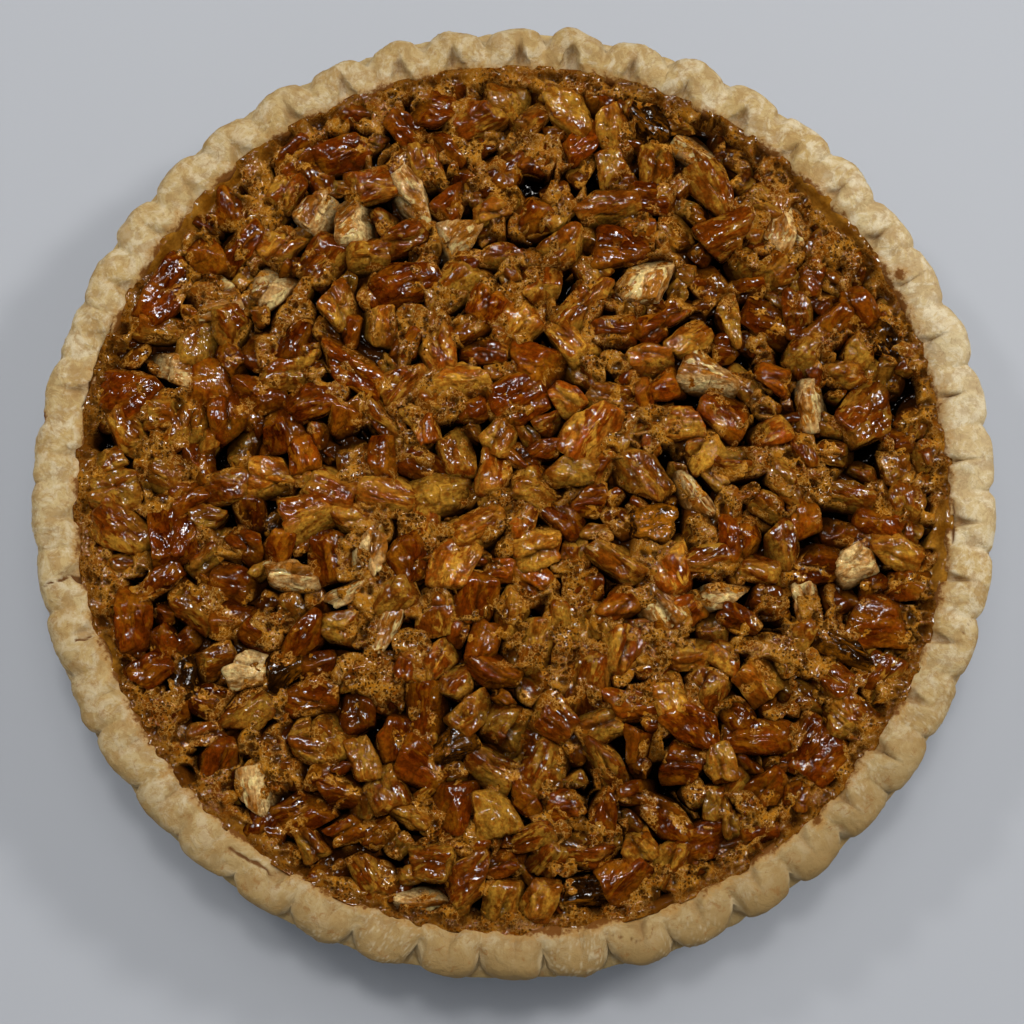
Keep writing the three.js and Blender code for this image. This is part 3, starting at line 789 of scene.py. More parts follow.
# A chunk's blunt body, as shares of its length, width and height, and the ranges that its planes come from.
BODY_SHARES = (0.60, 0.62, 1.16)
BLUNTNESS = (4.5, 9.0)
END_TIP = (-0.45, 0.6)
SKEW = (-0.4, 0.4)
SIDE_REACH = (0.92, 1.14)
ROOF_SLOPE = (0.0, 0.55)
ROOF_LEAN = (-0.25, 0.25)
ROOF_REACH = (0.86, 1.0)
CUT_RISE = (0.75, 1.2)
CUT_HEIGHT = 0.60
CORNER_RISE = (-0.2, 1.6)
CORNER_REACH = (0.95, 1.25)
CORNER_SHARE = 0.74
END_SKIN, SIDE_SKIN, CORNER_SKIN = 0.25, 0.7, 0.55
EDGE_WEAR = (0.5, 1.3)
CORNER_CUTS = 4
PLANES = 7 + CORNER_CUTS
EDGE_SHARPNESS = 34
CHUNK_SINK = 3.2
LENGTHWISE = np.array([0.4, 1.0, 1.0])
CUT_SHARE = 0.36
CREAM_CUT_SHARE = 0.20
UPWARD_BIAS = 0.50
FAR = 1e3


def chunk_planes(dice, rows, cut_way, cut_share):
    """The planes that each chunk was broken along, as [x, y, z, distance, is skin] in the chunk's own frame.

    Two close the ends, two the sides, two the top like a low roof, one is the pale cut of a piece that has
    one, and the last few cut corners off.
    """
    count = len(rows)
    length, width, height = rows.T
    planes = np.zeros((count, PLANES, 5))
    tip = dice.uniform(*END_TIP, (count, 4)).T
    skew = dice.uniform(*SKEW, (count, 4)).T
    for number, (x, y) in enumerate(((1, 0), (-1, 0), (0, 1), (0, -1))):
        reach = (length if x else width) / 2 * dice.uniform(*SIDE_REACH, count)
        skin = dice.uniform(0, 1, count) < (END_SKIN if x else SIDE_SKIN)
        lean = skew[number]
        planes[:, number] = np.column_stack([x + lean * abs(y), y + lean * abs(x), tip[number], reach, skin])
    slope = dice.uniform(*ROOF_SLOPE, (count, 2)) * [1, -1]
    one = np.ones(count)
    for number in (4, 5):
        lean = dice.uniform(*ROOF_LEAN, count)
        reach = height * dice.uniform(*ROOF_REACH, count)
        planes[:, number] = np.column_stack([lean, slope[:, number - 4], one, reach, one])
    way = np.radians(np.nan_to_num(cut_way))
    rise = dice.uniform(*CUT_RISE, count)
    reach = cut_share * np.hypot(np.cos(way) * length, np.sin(way) * width) / 2 + CUT_HEIGHT * height * rise
    reach = np.where(np.isnan(cut_way), FAR, reach)
    planes[:, 6, :4] = np.column_stack([np.cos(way), np.sin(way), rise, reach])
    way = dice.uniform(0, 2 * math.pi, (count, CORNER_CUTS))
    rise = dice.uniform(*CORNER_RISE, (count, CORNER_CUTS))
    reach = np.hypot(np.cos(way) * length[:, None], np.sin(way) * width[:, None]) / 2
    reach = CORNER_SHARE * (reach + np.maximum(rise, 0) * height[:, None])
    reach = reach * dice.uniform(*CORNER_REACH, (count, CORNER_CUTS))
    skin = dice.uniform(0, 1, (count, CORNER_CUTS)) < CORNER_SKIN
    planes[:, 7:] = np.stack([np.cos(way), np.sin(way), rise, reach, skin], axis=-1)
    size = np.linalg.norm(planes[..., :3], axis=-1, keepdims=True)
    planes[..., :3] /= size
    planes[:, 6:, 3:4] /= size[:, 6:]
    return planes


def chunk_points(rows, cut_way, cut_share, flesh_up, steps, seed):
    """Broken chunks of pecan: their points and faces, and each point's own values.

    Each direction from a chunk's middle reaches to the nearest of a blunt ellipsoid and its breaking planes,
    joined by a power mean so that the edges are a little round. Grooves run along the skin, and broken faces
    are rough. The values are shares of skin, edge and crease, the piece's tint with painted shade, and its
    own lengthwise place.
    """
    dice = np.random.RandomState(seed)
    x, y, length, width, turn, proud, tilt_x, tilt_y = rows.T
    count = len(rows)
    directions, faces = cube_sphere(steps)
    directions = directions + np.array([0, 0, UPWARD_BIAS])
    directions /= np.linalg.norm(directions, axis=1, keepdims=True)
    height = (proud + CHUNK_SINK) / 2
    sizes = np.stack([length, width, height], axis=1)
    half = sizes * BODY_SHARES
    blunt = dice.uniform(*BLUNTNESS, (count, 1))
    body = (np.abs(directions[None] / half[:, None]) ** blunt[..., None]).sum(axis=-1) ** (-1 / blunt)
    planes = chunk_planes(dice, sizes, cut_way - turn, cut_share)
    facing = np.einsum("pkc,vc->pkv", planes[..., :3], directions)
    reach = planes[..., 3:4] / np.maximum(facing, 1e-3)
    pull_body = body ** -EDGE_SHARPNESS
    pull_planes = np.minimum(reach, FAR) ** -EDGE_SHARPNESS
    total = pull_body + pull_planes.sum(axis=1)
    distance = total ** (-1 / EDGE_SHARPNESS)
    skin = (pull_body + (pull_planes * planes[..., 4:5]).sum(axis=1)) / total
    skin = np.where(flesh_up[:, None], 1 - skin, skin)
    soft_pulls = np.concatenate([pull_body[:, None], pull_planes], axis=1) ** 0.3
    edge = (1 - soft_pulls.max(axis=1) / soft_pulls.sum(axis=1)) * dice.uniform(*EDGE_WEAR, (count, 1))
    points = distance[..., None] * directions[None]
    seeds = dice.uniform(-400, 400, (count, 1, 3))
    own = points * LENGTHWISE + seeds
    loose = points + seeds
    shown = ease(directions[:, 2], 0.0, 0.5)
    middle = dice.uniform(-0.5, 0.5, (count, 1)) * width[:, None] * 0.5
    groove_width = dice.uniform(0.7, 1.2, (count, 1))
    groove = np.exp(-(((points[..., 1] - middle + 1.2 * noise(loose, 6.0, 12)) / groove_width) ** 2))
    groove = groove * dice.uniform(0.0, 1.0, (count, 1)) ** 1.2 * shown
    wrinkle = np.maximum(0, 1 - np.abs(noise(own, 2.5, 17)) / 0.22) * skin
    lobes = np.maximum(0, 1 - np.abs(noise(loose, 3.6, 18)) / 0.20) * (1 - skin)
    relief = uneven(loose, (0.45, 7.0, 16), (0.40, 3.2, 13), (0.22, 1.6, 14))
    relief = relief - 1.6 * groove - 0.60 * wrinkle * shown - 0.75 * lobes * shown
    points = points + relief[..., None] * directions[None]
    crease = np.maximum(groove, np.maximum(0.7 * wrinkle, 0.6 * lobes))
    points = turn_about(turn_about(turn_about(points, tilt_x, 1, 2), tilt_y, 2, 0), turn, 0, 1)
    points = points + np.stack([x, y, CUSTARD_TOP + proud - height], axis=1)[:, None]
    all_faces = faces[None] + (np.arange(count) * len(directions))[:, None, None]
    # Pieces are darker near the crust, and darker still at the front and at the front left as painted shade,
    # away from the lights behind the pie.
    darker = 0.6 * ease(np.hypot(x, y), 55, 108) + 0.3 * ease(-y, 10, 95) + 0.3 * ease(-x - y, 40, 120)
    tint_and_shade = np.repeat(dice.uniform(-0.1, 1, count) - darker, len(directions))
    values = {
        "skin": skin.ravel(),
        "edge": edge.ravel(),
        "crease": crease.ravel(),
        "tint_and_shade": tint_and_shade,
        "own": own.reshape(-1, 3) * 0.001,
    }
    return points.reshape(-1, 3), all_faces.reshape(-1, 4), values


GLAZE = {"Roughness": 0.6, "Specular IOR Level": 0.0, "Coat Roughness": 0.02, "Coat IOR": 1.6}


def glaze(tree, wetness, under=None):
    """The syrup's own surface: a clear coat with low waves, thick in small beads and thin between them, which
    breaks its reflections into points."""
    film = bump(tree, texture(tree, 2.0, detail=0.0), 1.0, 0.22, under)
    film = bump(tree, texture(tree, 1.0, detail=0.0), 1.0, 0.08, film)
    beads = spread(tree, texture(tree, 0.9, detail=2.0, roughness=0.6), 0.50, 0.56, 0.08, 1.0)
    return GLAZE | {"Coat Normal": film, "Coat Weight": times(tree, beads, wetness)}


def pinholes(tree, size, hole):
    """Burst bubbles seen from above: 1 inside an uneven hole at the middle of each flat cell. The holes of a
    cell's own random size are wider in some places than in others."""
    place = node(tree, "ShaderNodeTexCoord").outputs["Object"]
    inputs = {"Vector": place, "Scale": 1 / (size * MILLIMETRE)}
    wander = node(tree, "ShaderNodeTexNoise", inputs | {"Detail": 1.0}).outputs["Color"]
    reach = (0.6 * size * MILLIMETRE,) * 3
    shift = node(tree, "ShaderNodeVectorMath", {0: wander, 1: reach}, operation="MULTIPLY").outputs[0]
    inputs["Vector"] = node(tree, "ShaderNodeVectorMath", {0: place, 1: shift}).outputs[0]
    cells = node(tree, "ShaderNodeTexVoronoi", inputs, voronoi_dimensions="2D")
    own_size = node(tree, "ShaderNodeSeparateColor", {0: cells.outputs["Color"]}).outputs[0]
    wide = spread(tree, texture(tree, 5.5, detail=2.0), 0.38, 0.62, 0.25, 1.1)
    wide = times(tree, wide, spread(tree, own_size, 0.1, 1.0, 0.25, 1.1))
    reach = maths(tree, "DIVIDE", cells.outputs["Distance"], wide)
    return spread(tree, reach, hole * 0.7, hole * 1.15, 1.0, 0.0)


def froth_look(tree):
    """Golden froth: lumps of two browns, pale strands where bubbles meet and dark where they burst. Also the
    strands and the burst bubbles by themselves."""
    lumps = spread(tree, texture(tree, 4.5, roughness=0.6), 0.38, 0.62)
    ridge = maths(tree, "SUBTRACT", texture(tree, 1.5, roughness=0.6), 0.5)
    strands = spread(tree, maths(tree, "ABSOLUTE", ridge), 0.0, 0.05, 1.0, 0.0)
    holes = maths(tree, "MAXIMUM", pinholes(tree, 1.9, 0.32), pinholes(tree, 0.9, 0.34))
    foam = layered(tree, mix(tree, lumps, (0.16, 0.044, 0.002), (0.43, 0.165, 0.011)), (
        (texture(tree, 7.0, detail=1.0), 0.46, 0.58, 0.7, (0.19, 0.044, 0.002)),
        (strands, 0.0, 1.0, 0.7, (0.68, 0.36, 0.075)),
        (holes, 0.0, 1.0, 0.88, (0.065, 0.018, 0.001)),
    ))
    return foam, strands, holes


def blend(*parts):
    """A colour made of shares of others, no channel above 1."""
    return tuple(min(1.0, sum(share * colour[channel] for share, colour in parts)) for channel in range(3))


def make_pecan(name, skin_dark, skin_light, flesh, wetness, darkest):
    """Baked pecan under syrup: wrinkled skin in two shades, torn off along its edges, paler flesh where it
    broke, and froth round its foot. Syrup and painted shade darken its creases; painted shade darkens its
    lower parts, near black where it sinks between the nuts, and painted light brightens its top."""
    look, tree = blank_look(name)
    own = node(tree, "ShaderNodeAttribute", attribute_name="own").outputs["Vector"]
    lines = texture(tree, 1.1, roughness=0.6, place=own)
    soak = texture(tree, 5.0, roughness=0.66, place=own)
    clouds = spread(tree, texture(tree, 3.4, detail=4.0, roughness=0.7, place=own), 0.38, 0.62)
    glow = blend((0.5, flesh), (0.5, skin_light))
    skin_colour = layered(tree, mix(tree, clouds, skin_dark, skin_light), (
        (lines, 0.53, 0.66, 0.40, blend((0.3, skin_dark))),
        (soak, 0.49, 0.40, 0.80, glow),
        (lines, 0.46, 0.34, 0.35, glow),
    ))
    clouds = spread(tree, texture(tree, 2.6, roughness=0.68), 0.40, 0.62)
    flesh_colour = layered(tree, mix(tree, clouds, flesh, blend((0.50, flesh), (0.25, skin_light))), (
        (texture(tree, 0.7, detail=2.0, roughness=0.7), 0.46, 0.64, 0.6, skin_light),
        (stored(tree, "edge"), 0.25, 0.55, 0.5, skin_light),
        (soak, 0.48, 0.58, 0.85, blend((0.4, skin_dark), (0.6, skin_light))),
    ))
    tear = texture(tree, 2.0, roughness=0.6)
    skin = maths(tree, "ADD", stored(tree, "skin"), spread(tree, tear, 0.3, 0.7, -0.22, 0.22))
    torn = maths(tree, "ADD", stored(tree, "edge"), spread(tree, tear, 0.3, 0.7, 0.25, -0.25))
    skin = maths(tree, "SUBTRACT", skin, spread(tree, torn, 0.54, 0.66))
    patches = texture(tree, 3.0, roughness=0.68, distortion=0.6, place=own)
    colour = layered(tree, mix(tree, spread(tree, skin, 0.42, 0.58), flesh_colour, skin_colour), (
        (patches, 0.55, 0.64, 0.75, blend((0.45, skin_light))),
        (patches, 0.45, 0.38, 0.65, blend((1.15, flesh))),
    ))
    place = own_height(tree)
    tint_and_shade = spread(tree, stored(tree, "tint_and_shade"), 0.0, 1.0, darkest, 0.93)
    # Lower parts of each piece painted darker and higher ones a little lighter: painted shade and painted
    # light.
    tint_and_shade = times(tree, tint_and_shade, spread(tree, place, 0.0330, 0.0368, 0.60, 1.06))
    tint_and_shade = times(tree, tint_and_shade, spread(tree, texture(tree, 1.0), 0.36, 0.64, 0.72, 1.25))
    climb = spread(tree, texture(tree, 6.0, roughness=0.62), 0.42, 0.62, -0.0038, 0.0014)
    clinging = spread(tree, maths(tree, "SUBTRACT", place, climb), 0.0336, 0.0345, 1.0, 0.0)
    clinging = times(tree, clinging, spread(tree, place, 0.0322, 0.0334))
    shade = node(tree, "ShaderNodeHueSaturation", {"Color": colour, "Value": tint_and_shade}).outputs[0]
    # Creases darkened by syrup and painted shade; the part sunk in the gaps fades to near black as painted
    # shade.
    shade = layered(tree, shade, (
        (stored(tree, "crease"), 0.35, 0.95, 0.85, (0.030, 0.008, 0.0006)),
        (place, 0.0346, 0.0318, 0.96, (0.012, 0.0035, 0.0004)),
        (clinging, 0.0, 1.0, 1.0, froth_look(tree)[0]),
    ))
    grain = bump(tree, lines, 0.9, -0.35)
    grain = bump(tree, texture(tree, 0.9, detail=2.0, roughness=0.6), 0.7, 0.30, grain)
    wet = spread(tree, place, 0.0315, 0.0340, 0.1, wetness)
    film = glaze(tree, wet, bump(tree, lines, 0.6, -0.2))
    return finish_look(look, {"Base Color": shade, "Normal": grain} | film)


FLESH_AMBER = (0.44, 0.142, 0.006)
FLESH_GOLD = (0.72, 0.355, 0.036)
FLESH_CREAM = (1.0, 0.70, 0.29)
# Each kind's name, dark skin, light skin, flesh, wetness, and how dark its darkest pieces are.
PECAN_KINDS = (
    ("pecans_chestnut", (0.075, 0.009, 0.0004), (0.30, 0.049, 0.002), FLESH_AMBER, 1.0, 0.52),
    ("pecans_russet", (0.13, 0.018, 0.0006), (0.38, 0.068, 0.003), FLESH_AMBER, 1.0, 0.52),
    ("pecans_amber", (0.15, 0.025, 0.001), (0.42, 0.084, 0.004), FLESH_GOLD, 1.0, 0.50),
    ("pecans_golden", (0.18, 0.036, 0.002), (0.43, 0.103, 0.005), FLESH_GOLD, 0.9, 0.58),
    ("pecans_cream", (0.17, 0.042, 0.003), (0.46, 0.165, 0.016), FLESH_CREAM, 0.6, 0.95),
    ("pecans_burnt", (0.010, 0.003, 0.0005), (0.045, 0.014, 0.002), FLESH_AMBER, 1.0, 0.52),
)
FILL_SHARES = (0.16, 0.26, 0.35, 0.21, 0.01, 0.01)
TUCKED_SHARES = (0.18, 0.24, 0.31, 0.26, 0.00, 0.01)
STEPS = (16, 11, 7)

kind_draw = np.random.RandomState(KIND_SEED)
tucked = tucked_nuts(kind_draw)
group_sizes = (len(SET_NUTS), len(nuts) - len(SET_NUTS), len(tucked))
group = np.repeat(np.arange(3), group_sizes)
nut_rows = np.concatenate([np.column_stack([nuts[:, :5], stance]), tucked])
kinds = np.concatenate([
    [row[5] for row in SET_NUTS],
    kind_draw.choice(6, group_sizes[1], p=FILL_SHARES),
    kind_draw.choice(6, group_sizes[2], p=TUCKED_SHARES),
])
chance = kind_draw.uniform(0, 1, (3, len(kinds)))
kinds[(kinds == AMBER) & (group == 0) & (chance[0] < RUSSET_CHANCE)] = RUSSET
set_cuts = [np.nan if row[6] is None else row[6] for row in SET_NUTS]
cuts = np.where(chance[1] < CUT_CHANCE, kind_draw.uniform(-180, 180, len(kinds)), np.nan)
cuts[group == 0] = set_cuts
flesh_up = np.isin(kinds, (GOLDEN, CREAM)) & np.isnan(cuts)
flesh_up |= (chance[2] < FLESH_UP_CHANCE) & (group > 0)

pecan_pieces = []
for kind, (kind_name, *colours) in enumerate(PECAN_KINDS):
    parts = []
    for size, steps in enumerate(STEPS):
        chosen = (kinds == kind) & (group == size)
        if chosen.any():
            cut_share = CREAM_CUT_SHARE if kind == CREAM else CUT_SHARE
            seed = 100 + kind * 3 + size
            broken = (nut_rows[chosen], cuts[chosen], cut_share, flesh_up[chosen])
            parts.append(chunk_points(*broken, steps, seed))
    offsets = np.cumsum([0] + [len(part[0]) for part in parts[:-1]])
    points = np.concatenate([part[0] for part in parts])
    faces = np.concatenate([part[1] + offset for part, offset in zip(parts, offsets)])
    values = {key: np.concatenate([part[2][key] for part in parts]) for key in parts[0][2]}
    pecans = piece(kind_name, make_pecan(f"Glazed {kind_name}", *colours), points, [faces], **values)
    pecan_pieces.append(pecans)

# ----------------------------------------------------------------------------------------------------
# The custard. Brown sugar and egg set round the nuts. Its top is froth where bubbles rose and burst, with
# gaps between the nuts where it sank, their depths painted near black as shade, and a band of clear amber
# jelly along parts of the crust.

FROTH_STEPS = 274
FROTH_RADIUS = 115.6
HIGH_LEVEL = 33.8
LOW_LEVEL = 30.2
SHORE_LEVEL = 34.9
GAP_DEPTH = 2.6
COLLAR_HEIGHT = 0.9
JELLY_LEVEL = 32.9
JELLY_RADIUS = 114.0
JELLY_WIDTH = 6.0

# The froth's bubbles: size across, the value past which one has burst, depth, and the lattice they use.
FROTH_BUBBLES = ((4.6, 0.50, 2.4, 1), (2.4, 0.45, 1.1, 2))

# Where clear jelly lies along the crust: the angle, its spread and its width as a share of the widest.
JELLY_ARCS = ((138.0, 12.0, 1.0), (352.0, 7.0, 0.7), (203.0, 5.0, 0.5), (42.0, 8.0, 0.6), (233.0, 5.0, 0.5))


def disc_grid(steps):
    """A square lattice drawn onto a disc: each ring of the square becomes a circle of the same half width."""
    line = np.linspace(-1, 1, 2 * steps + 1)
    x, y = np.meshgrid(line, line, indexing="ij")
    wide = np.abs(x) >= np.abs(y)
    largest = np.where(wide, x, y)
    ratio = np.where(wide, y, x) / np.where(largest == 0, 1, largest)
    angle = math.pi / 4 * ratio
    one = largest * np.cos(angle)
    two = largest * np.sin(angle)
    return np.where(wide, one, two), np.where(wide, two, one)


def bubbles(x, y, size, salt):
    """Packed bubbles, one round a random spot in each cell of a lattice: how far a point is inside its
    bubble's wall, as the distance to the second nearest spot less the nearest, and the bubble's own value."""
    cell_x = np.floor(x / size).astype(int)
    cell_y = np.floor(y / size).astype(int)
    nearest, second = np.full(x.shape, 9.0), np.full(x.shape, 9.0)
    value = np.zeros(x.shape)
    for dx in (-1, 0, 1):
        for dy in (-1, 0, 1):
            one, two = cell_x + dx, cell_y + dy
            spot_x = one + 0.5 + 0.45 * cell_value(one, two, 0, salt)
            spot_y = two + 0.5 + 0.45 * cell_value(one, two, 1, salt)
            away = np.hypot(x / size - spot_x, y / size - spot_y)
            closer = away < nearest
            second = np.where(closer, nearest, np.minimum(second, away))
            value = np.where(closer, cell_value(one, two, 2, salt), value)
            nearest = np.minimum(nearest, away)
    return second - nearest, value


def near_nuts(x, y):
    """How near a point is to a nut: its distance as a share of the nut's own ellipse, the least of all."""
    least = np.full(x.shape, 9.0)
    for nut_x, nut_y, length, width, turn in nut_rows[:, :5]:
        close = (np.abs(x - nut_x) < length) & (np.abs(y - nut_y) < length)
        dx, dy = x[close] - nut_x, y[close] - nut_y
        cosine, sine = math.cos(math.radians(turn)), math.sin(math.radians(turn))
        along = (dx * cosine + dy * sine) / (length / 2)
        across = (dy * cosine - dx * sine) / (width / 2)
        least[close] = np.minimum(least[close], np.hypot(along, across))
    return least


def froth_surface(x, y):
    """The custard's height at each place, and how frothy, how hollow, how much jelly and how brown it is."""
    spots = np.stack([x, y, np.zeros_like(x)], axis=-1)
    radius = np.hypot(x, y)
    angle = np.arctan2(y, x)
    near = near_nuts(x, y)
    patch = uneven(spots, (1.0, 13.0, 20), (0.55, 5.5, 21))
    often = 0.9 * ease(radius, 106, 112) + 0.3 * ease(80 - radius, 0, 45)
    froth = ease(patch + often, 0.02, 0.40)
    along_rim = strength_round(np.degrees(angle), 0.0, JELLY_ARCS)
    jelly_width = JELLY_WIDTH * along_rim * (1 + 0.5 * noise(spots, 6.0, 22))
    jelly = ease(radius - (JELLY_RADIUS - jelly_width), 0.0, 1.2) * ease(along_rim, 0.2, 0.5)
    jelly = jelly * ease(near, 0.85, 1.1)
    crevice = ease(near, 0.90, 1.00) * ease(1.40 - near, 0.0, 0.2) * ease(noise(spots, 4.5, 33), -0.16, -0.02)
    gap = crevice * ease(111 - radius, 0, 3)
    for gap_x, gap_y, gap_radius in GAPS:
        away = np.hypot(x - gap_x, y - gap_y) / gap_radius + 0.35 * noise(spots, 3.0, 23)
        gap = np.maximum(gap, ease(1.35 - away, 0.0, 0.45))
    froth = froth * (1 - gap) * (1 - jelly)
    collar = ease(1.45 - near, 0.0, 0.5)
    level = LOW_LEVEL + (HIGH_LEVEL - LOW_LEVEL) * froth + COLLAR_HEIGHT * collar * (1 - gap)
    level = level + uneven(spots, (0.55, 4.5, 24), (0.25, 2.0, 25)) - GAP_DEPTH * gap
    level = level * (1 - jelly) + (JELLY_LEVEL + 0.3 * noise(spots, 9.0, 26)) * jelly
    level = np.maximum(level, (radius - wall_radius(0, CRUST_INSIDE)) / WALL_LEAN + 1.0)
    shore = SHORE_LEVEL + uneven(spots, (0.5, 7.0, 28), (0.7, 2.4, 29))
    level = level + (shore - level) * ease(radius, 111.5, 114.2)
    open_froth = ease(froth, 0.1, 0.5) * (1 - jelly) * ease(114.6 - radius, 0, 1.2)
    hollow = np.zeros_like(x)
    for size, burst, depth, salt in FROTH_BUBBLES:
        inside, value = bubbles(x + 0.3 * size * noise(spots, size, 27), y, size, salt)
        cup = ease(inside, 0.02, 0.55) * (value > burst)
        dome = ease(inside, 0.0, 0.7) * (value <= burst)
        level = level + (0.3 * dome - cup) * depth * open_froth
        hollow = np.maximum(hollow, cup * min(1, 0.45 + 0.4 * depth))
    brown = ease(radius + 1.6 * noise(spots, 3.5, 30), 110.5, 114.0) * (0.75 + 0.4 * noise(spots, 9.0, 32))
    shown_values = {
        "froth": froth,
        "hollow": hollow * open_froth,
        "jelly": jelly,
        "edge_brown": brown * (1 - 0.7 * jelly),
    }
    return level, shown_values


def make_custard(grid_x, grid_y):
    """One quarter of the custard, closed: its fine top, plain sides down from the top's edge, and a floor."""
    level, shown_values = froth_surface(grid_x, grid_y)
    number = np.arange(grid_x.size).reshape(grid_x.shape)
    top = np.stack([grid_x, grid_y, level], axis=-1).reshape(-1, 3)
    rim = np.concatenate([number[0, :-1], number[:-1, -1], number[-1, :0:-1], number[:0:-1, 0]])
    radius = np.hypot(top[rim, 0], top[rim, 1])
    inward = np.minimum(1, wall_radius(FILLING_FLOOR, FILLING_OUTSIDE) / np.maximum(radius, 1e-6))
    foot = np.column_stack([top[rim, :2] * inward[:, None], np.full(len(rim), FILLING_FLOOR)])
    foot_ring = len(top) + np.arange(len(rim))
    walls = np.stack([rim, np.roll(rim, -1), np.roll(foot_ring, -1), foot_ring], axis=1)
    faces = [squares(number).reshape(-1, 4), walls, fan(len(top) + len(rim), foot_ring)]
    points = np.concatenate([top, foot, foot.mean(axis=0)[None]])
    values = {key: np.pad(value.ravel(), (0, len(rim) + 1)) for key, value in shown_values.items()}
    return points, faces, values


def make_syrup():
    """Set syrup: near black where it lies deep, as painted shade over the dark syrup, golden froth full of
    pinholes, and clear amber jelly.
    """
    look, tree = blank_look("Set brown sugar syrup")
    froth, jelly = stored(tree, "froth"), stored(tree, "jelly")
    foam, strands, holes = froth_look(tree)
    clouds = spread(tree, texture(tree, 4.5, detail=5.0, roughness=0.6), 0.38, 0.62)
    amber = mix(tree, clouds, (0.20, 0.068, 0.004), (0.40, 0.175, 0.018))
    colour = layered(tree, mix(tree, clouds, (0.040, 0.010, 0.001), (0.13, 0.036, 0.003)), (
        # Near black where it lies low between the nuts: painted shade over the dark syrup.
        (own_height(tree), 0.0332, 0.0305, 1.0, (0.0015, 0.0006, 0.0002)),
        (froth, 0.0, 1.0, 1.0, foam),
        (stored(tree, "hollow"), 0.0, 1.0, 0.9, (0.025, 0.007, 0.001)),
        (jelly, 0.0, 1.0, 1.0, amber),
        (stored(tree, "edge_brown"), 0.0, 1.25, 0.875, (0.12, 0.038, 0.003)),
    ))
    grain = bump(tree, times(tree, holes, froth), 1.0, -0.35, bump(tree, strands, 0.6, 0.35))
    wet = spread(tree, maths(tree, "MAXIMUM", froth, jelly), 0.0, 0.5, 0.25, 0.8)
    wet = times(tree, wet, spread(tree, holes, 0.2, 0.8, 1.0, 0.3))
    return finish_look(look, {"Base Color": colour, "Normal": grain} | glaze(tree, wet))


syrup = make_syrup()
disc_x, disc_y = (FROTH_RADIUS * axis for axis in disc_grid(FROTH_STEPS))
low, high = slice(0, FROTH_STEPS + 1), slice(FROTH_STEPS, 2 * FROTH_STEPS + 1)
QUARTERS = (
    ("custard_front_left", low, low),
    ("custard_back_left", low, high),
    ("custard_front_right", high, low),
    ("custard_back_right", high, high),
)
custard_pieces = []
for quarter_name, x_half, y_half in QUARTERS:
    points, faces, values = make_custard(disc_x[x_half, y_half], disc_y[x_half, y_half])
    quarter = piece(quarter_name, syrup, points, faces, flat=2, **values)
    custard_pieces.append(quarter)

for filling_piece in custard_pieces + pecan_pieces:
    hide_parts("filling")

# ----------------------------------------------------------------------------------------------------
# The room: a plain pale floor, small lights behind the pie for glints and broader ones for soft shade, a dim
# even sky, and the camera almost overhead.

FLOOR_HALF = 2.0
CAMERA_TILT = 8.0
CAMERA_DISTANCE = 500.0
CAMERA_TARGET = (-0.45, -6.0, 30.0)
CAMERA_LENS = 66.4
SENSOR_WIDTH = 36.0
FLOOR_COLOUR = (0.50, 0.525, 0.57, 1)
SKY_COLOUR = (0.93, 0.96, 1.0, 1)
SKY_STRENGTH = 0.25
LIGHT_COLOUR = (1.0, 0.97, 0.93)
LIGHT_AIM = np.array([0, 0, 0.03])

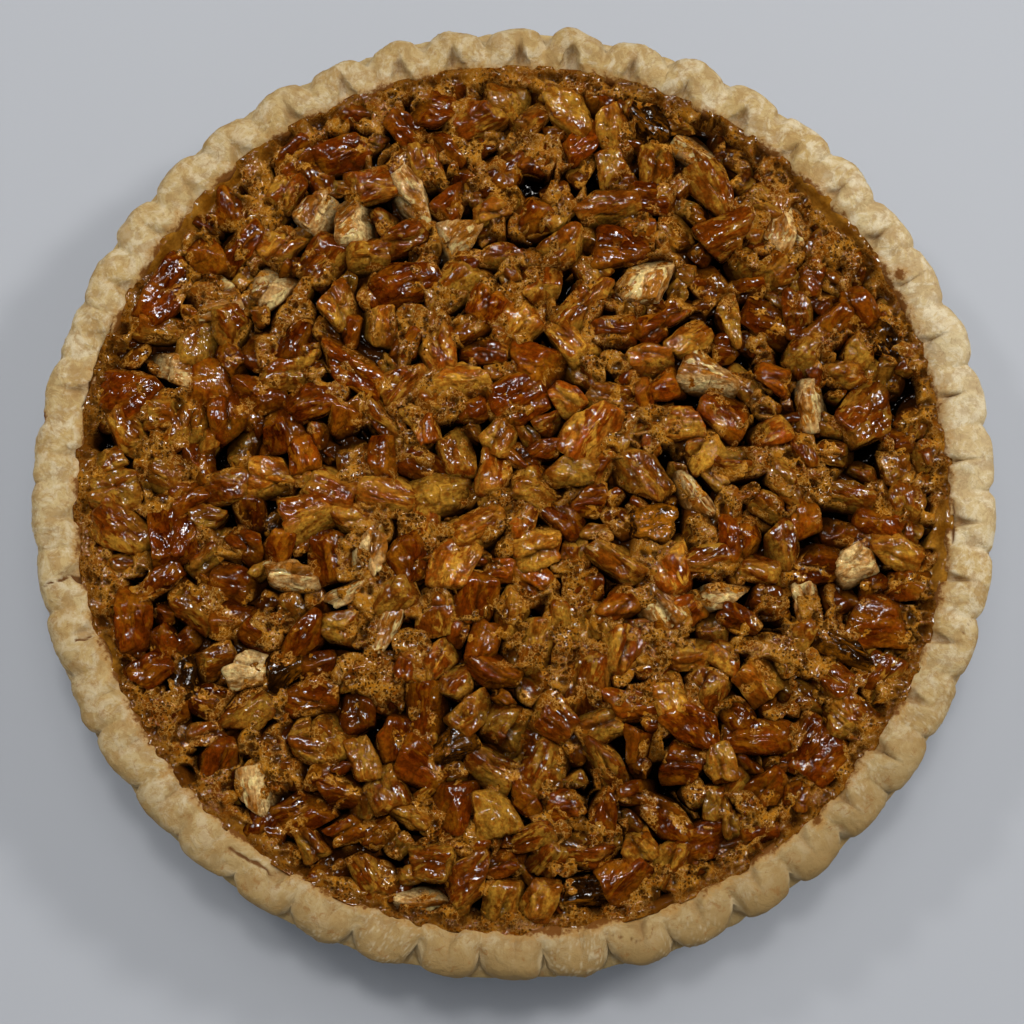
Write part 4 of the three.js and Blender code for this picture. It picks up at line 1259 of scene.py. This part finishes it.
# Each light's place and size in metres, its power, and whether it gives shade and glints.
LIGHTS = (
    ("high_back_light", (0.02, 0.33, 1.18), 0.17, 2.6, True, True),
    ("low_right_light", (0.82, 0.38, 0.82), 0.18, 3.2, True, True),
    ("back_left_light", (-0.62, 0.50, 0.92), 0.16, 2.2, True, True),
    ("right_sparkle_light", (0.30, 0.52, 1.06), 0.16, 3.2, False, True),
    ("left_sparkle_light", (-0.28, 0.42, 1.12), 0.16, 2.8, False, True),
    ("broad_back_light", (0.02, 0.33, 1.18), 0.70, 3.4, True, False),
    ("broad_right_light", (0.82, 0.38, 0.82), 0.30, 1.8, True, False),
)


def make_floor():
    """One flat square under the pie, far wider than the view."""
    corners = [(x * FLOOR_HALF, y * FLOOR_HALF, 0) for x, y in ((-1, -1), (1, -1), (1, 1), (-1, 1))]
    mesh = bpy.data.meshes.new("floor")
    mesh.from_pydata(corners, [], [(0, 1, 2, 3)])
    look, _ = blank_look("Pale floor")
    inputs = {"Base Color": FLOOR_COLOUR, "Roughness": 0.9, "Specular IOR Level": 0.2}
    mesh.materials.append(finish_look(look, inputs))
    floor = bpy.data.objects.new("floor", mesh)
    bpy.context.scene.collection.objects.link(floor)


def soft_light(name, place, size, power, shades, glints):
    """A round light aimed at the pie: tipped by its angle off straight down, then turned towards the aim."""
    light = bpy.data.lights.new(name, "AREA")
    light.shape = "DISK"
    light.size = size
    light.energy = power
    light.color = LIGHT_COLOUR
    holder = bpy.data.objects.new(name, light)
    bpy.context.scene.collection.objects.link(holder)
    x, y, z = LIGHT_AIM - place
    holder.location = place
    holder.rotation_euler = (math.atan2(math.hypot(x, y), -z), 0, math.atan2(y, x) - math.pi / 2)
    holder.visible_diffuse = shades
    holder.visible_glossy = glints


make_floor()
for light_values in LIGHTS:
    soft_light(*light_values)

world = bpy.data.worlds.new("soft_sky")
world.use_nodes = True
sky = world.node_tree.nodes["Background"]
sky.inputs["Color"].default_value = SKY_COLOUR
sky.inputs["Strength"].default_value = SKY_STRENGTH
bpy.context.scene.world = world
world.cycles_visibility.glossy = False

camera_data = bpy.data.cameras.new("camera")
camera_data.lens = CAMERA_LENS
camera_data.sensor_width = SENSOR_WIDTH
camera = bpy.data.objects.new("camera", camera_data)
bpy.context.scene.collection.objects.link(camera)
tilt = math.radians(CAMERA_TILT)
back_off = CAMERA_DISTANCE * np.array([0, -math.sin(tilt), math.cos(tilt)])
camera.location = (CAMERA_TARGET + back_off) * MILLIMETRE
camera.rotation_euler = (tilt, 0, 0)
bpy.context.scene.camera = camera
bpy.context.scene.view_settings.view_transform = "Standard"
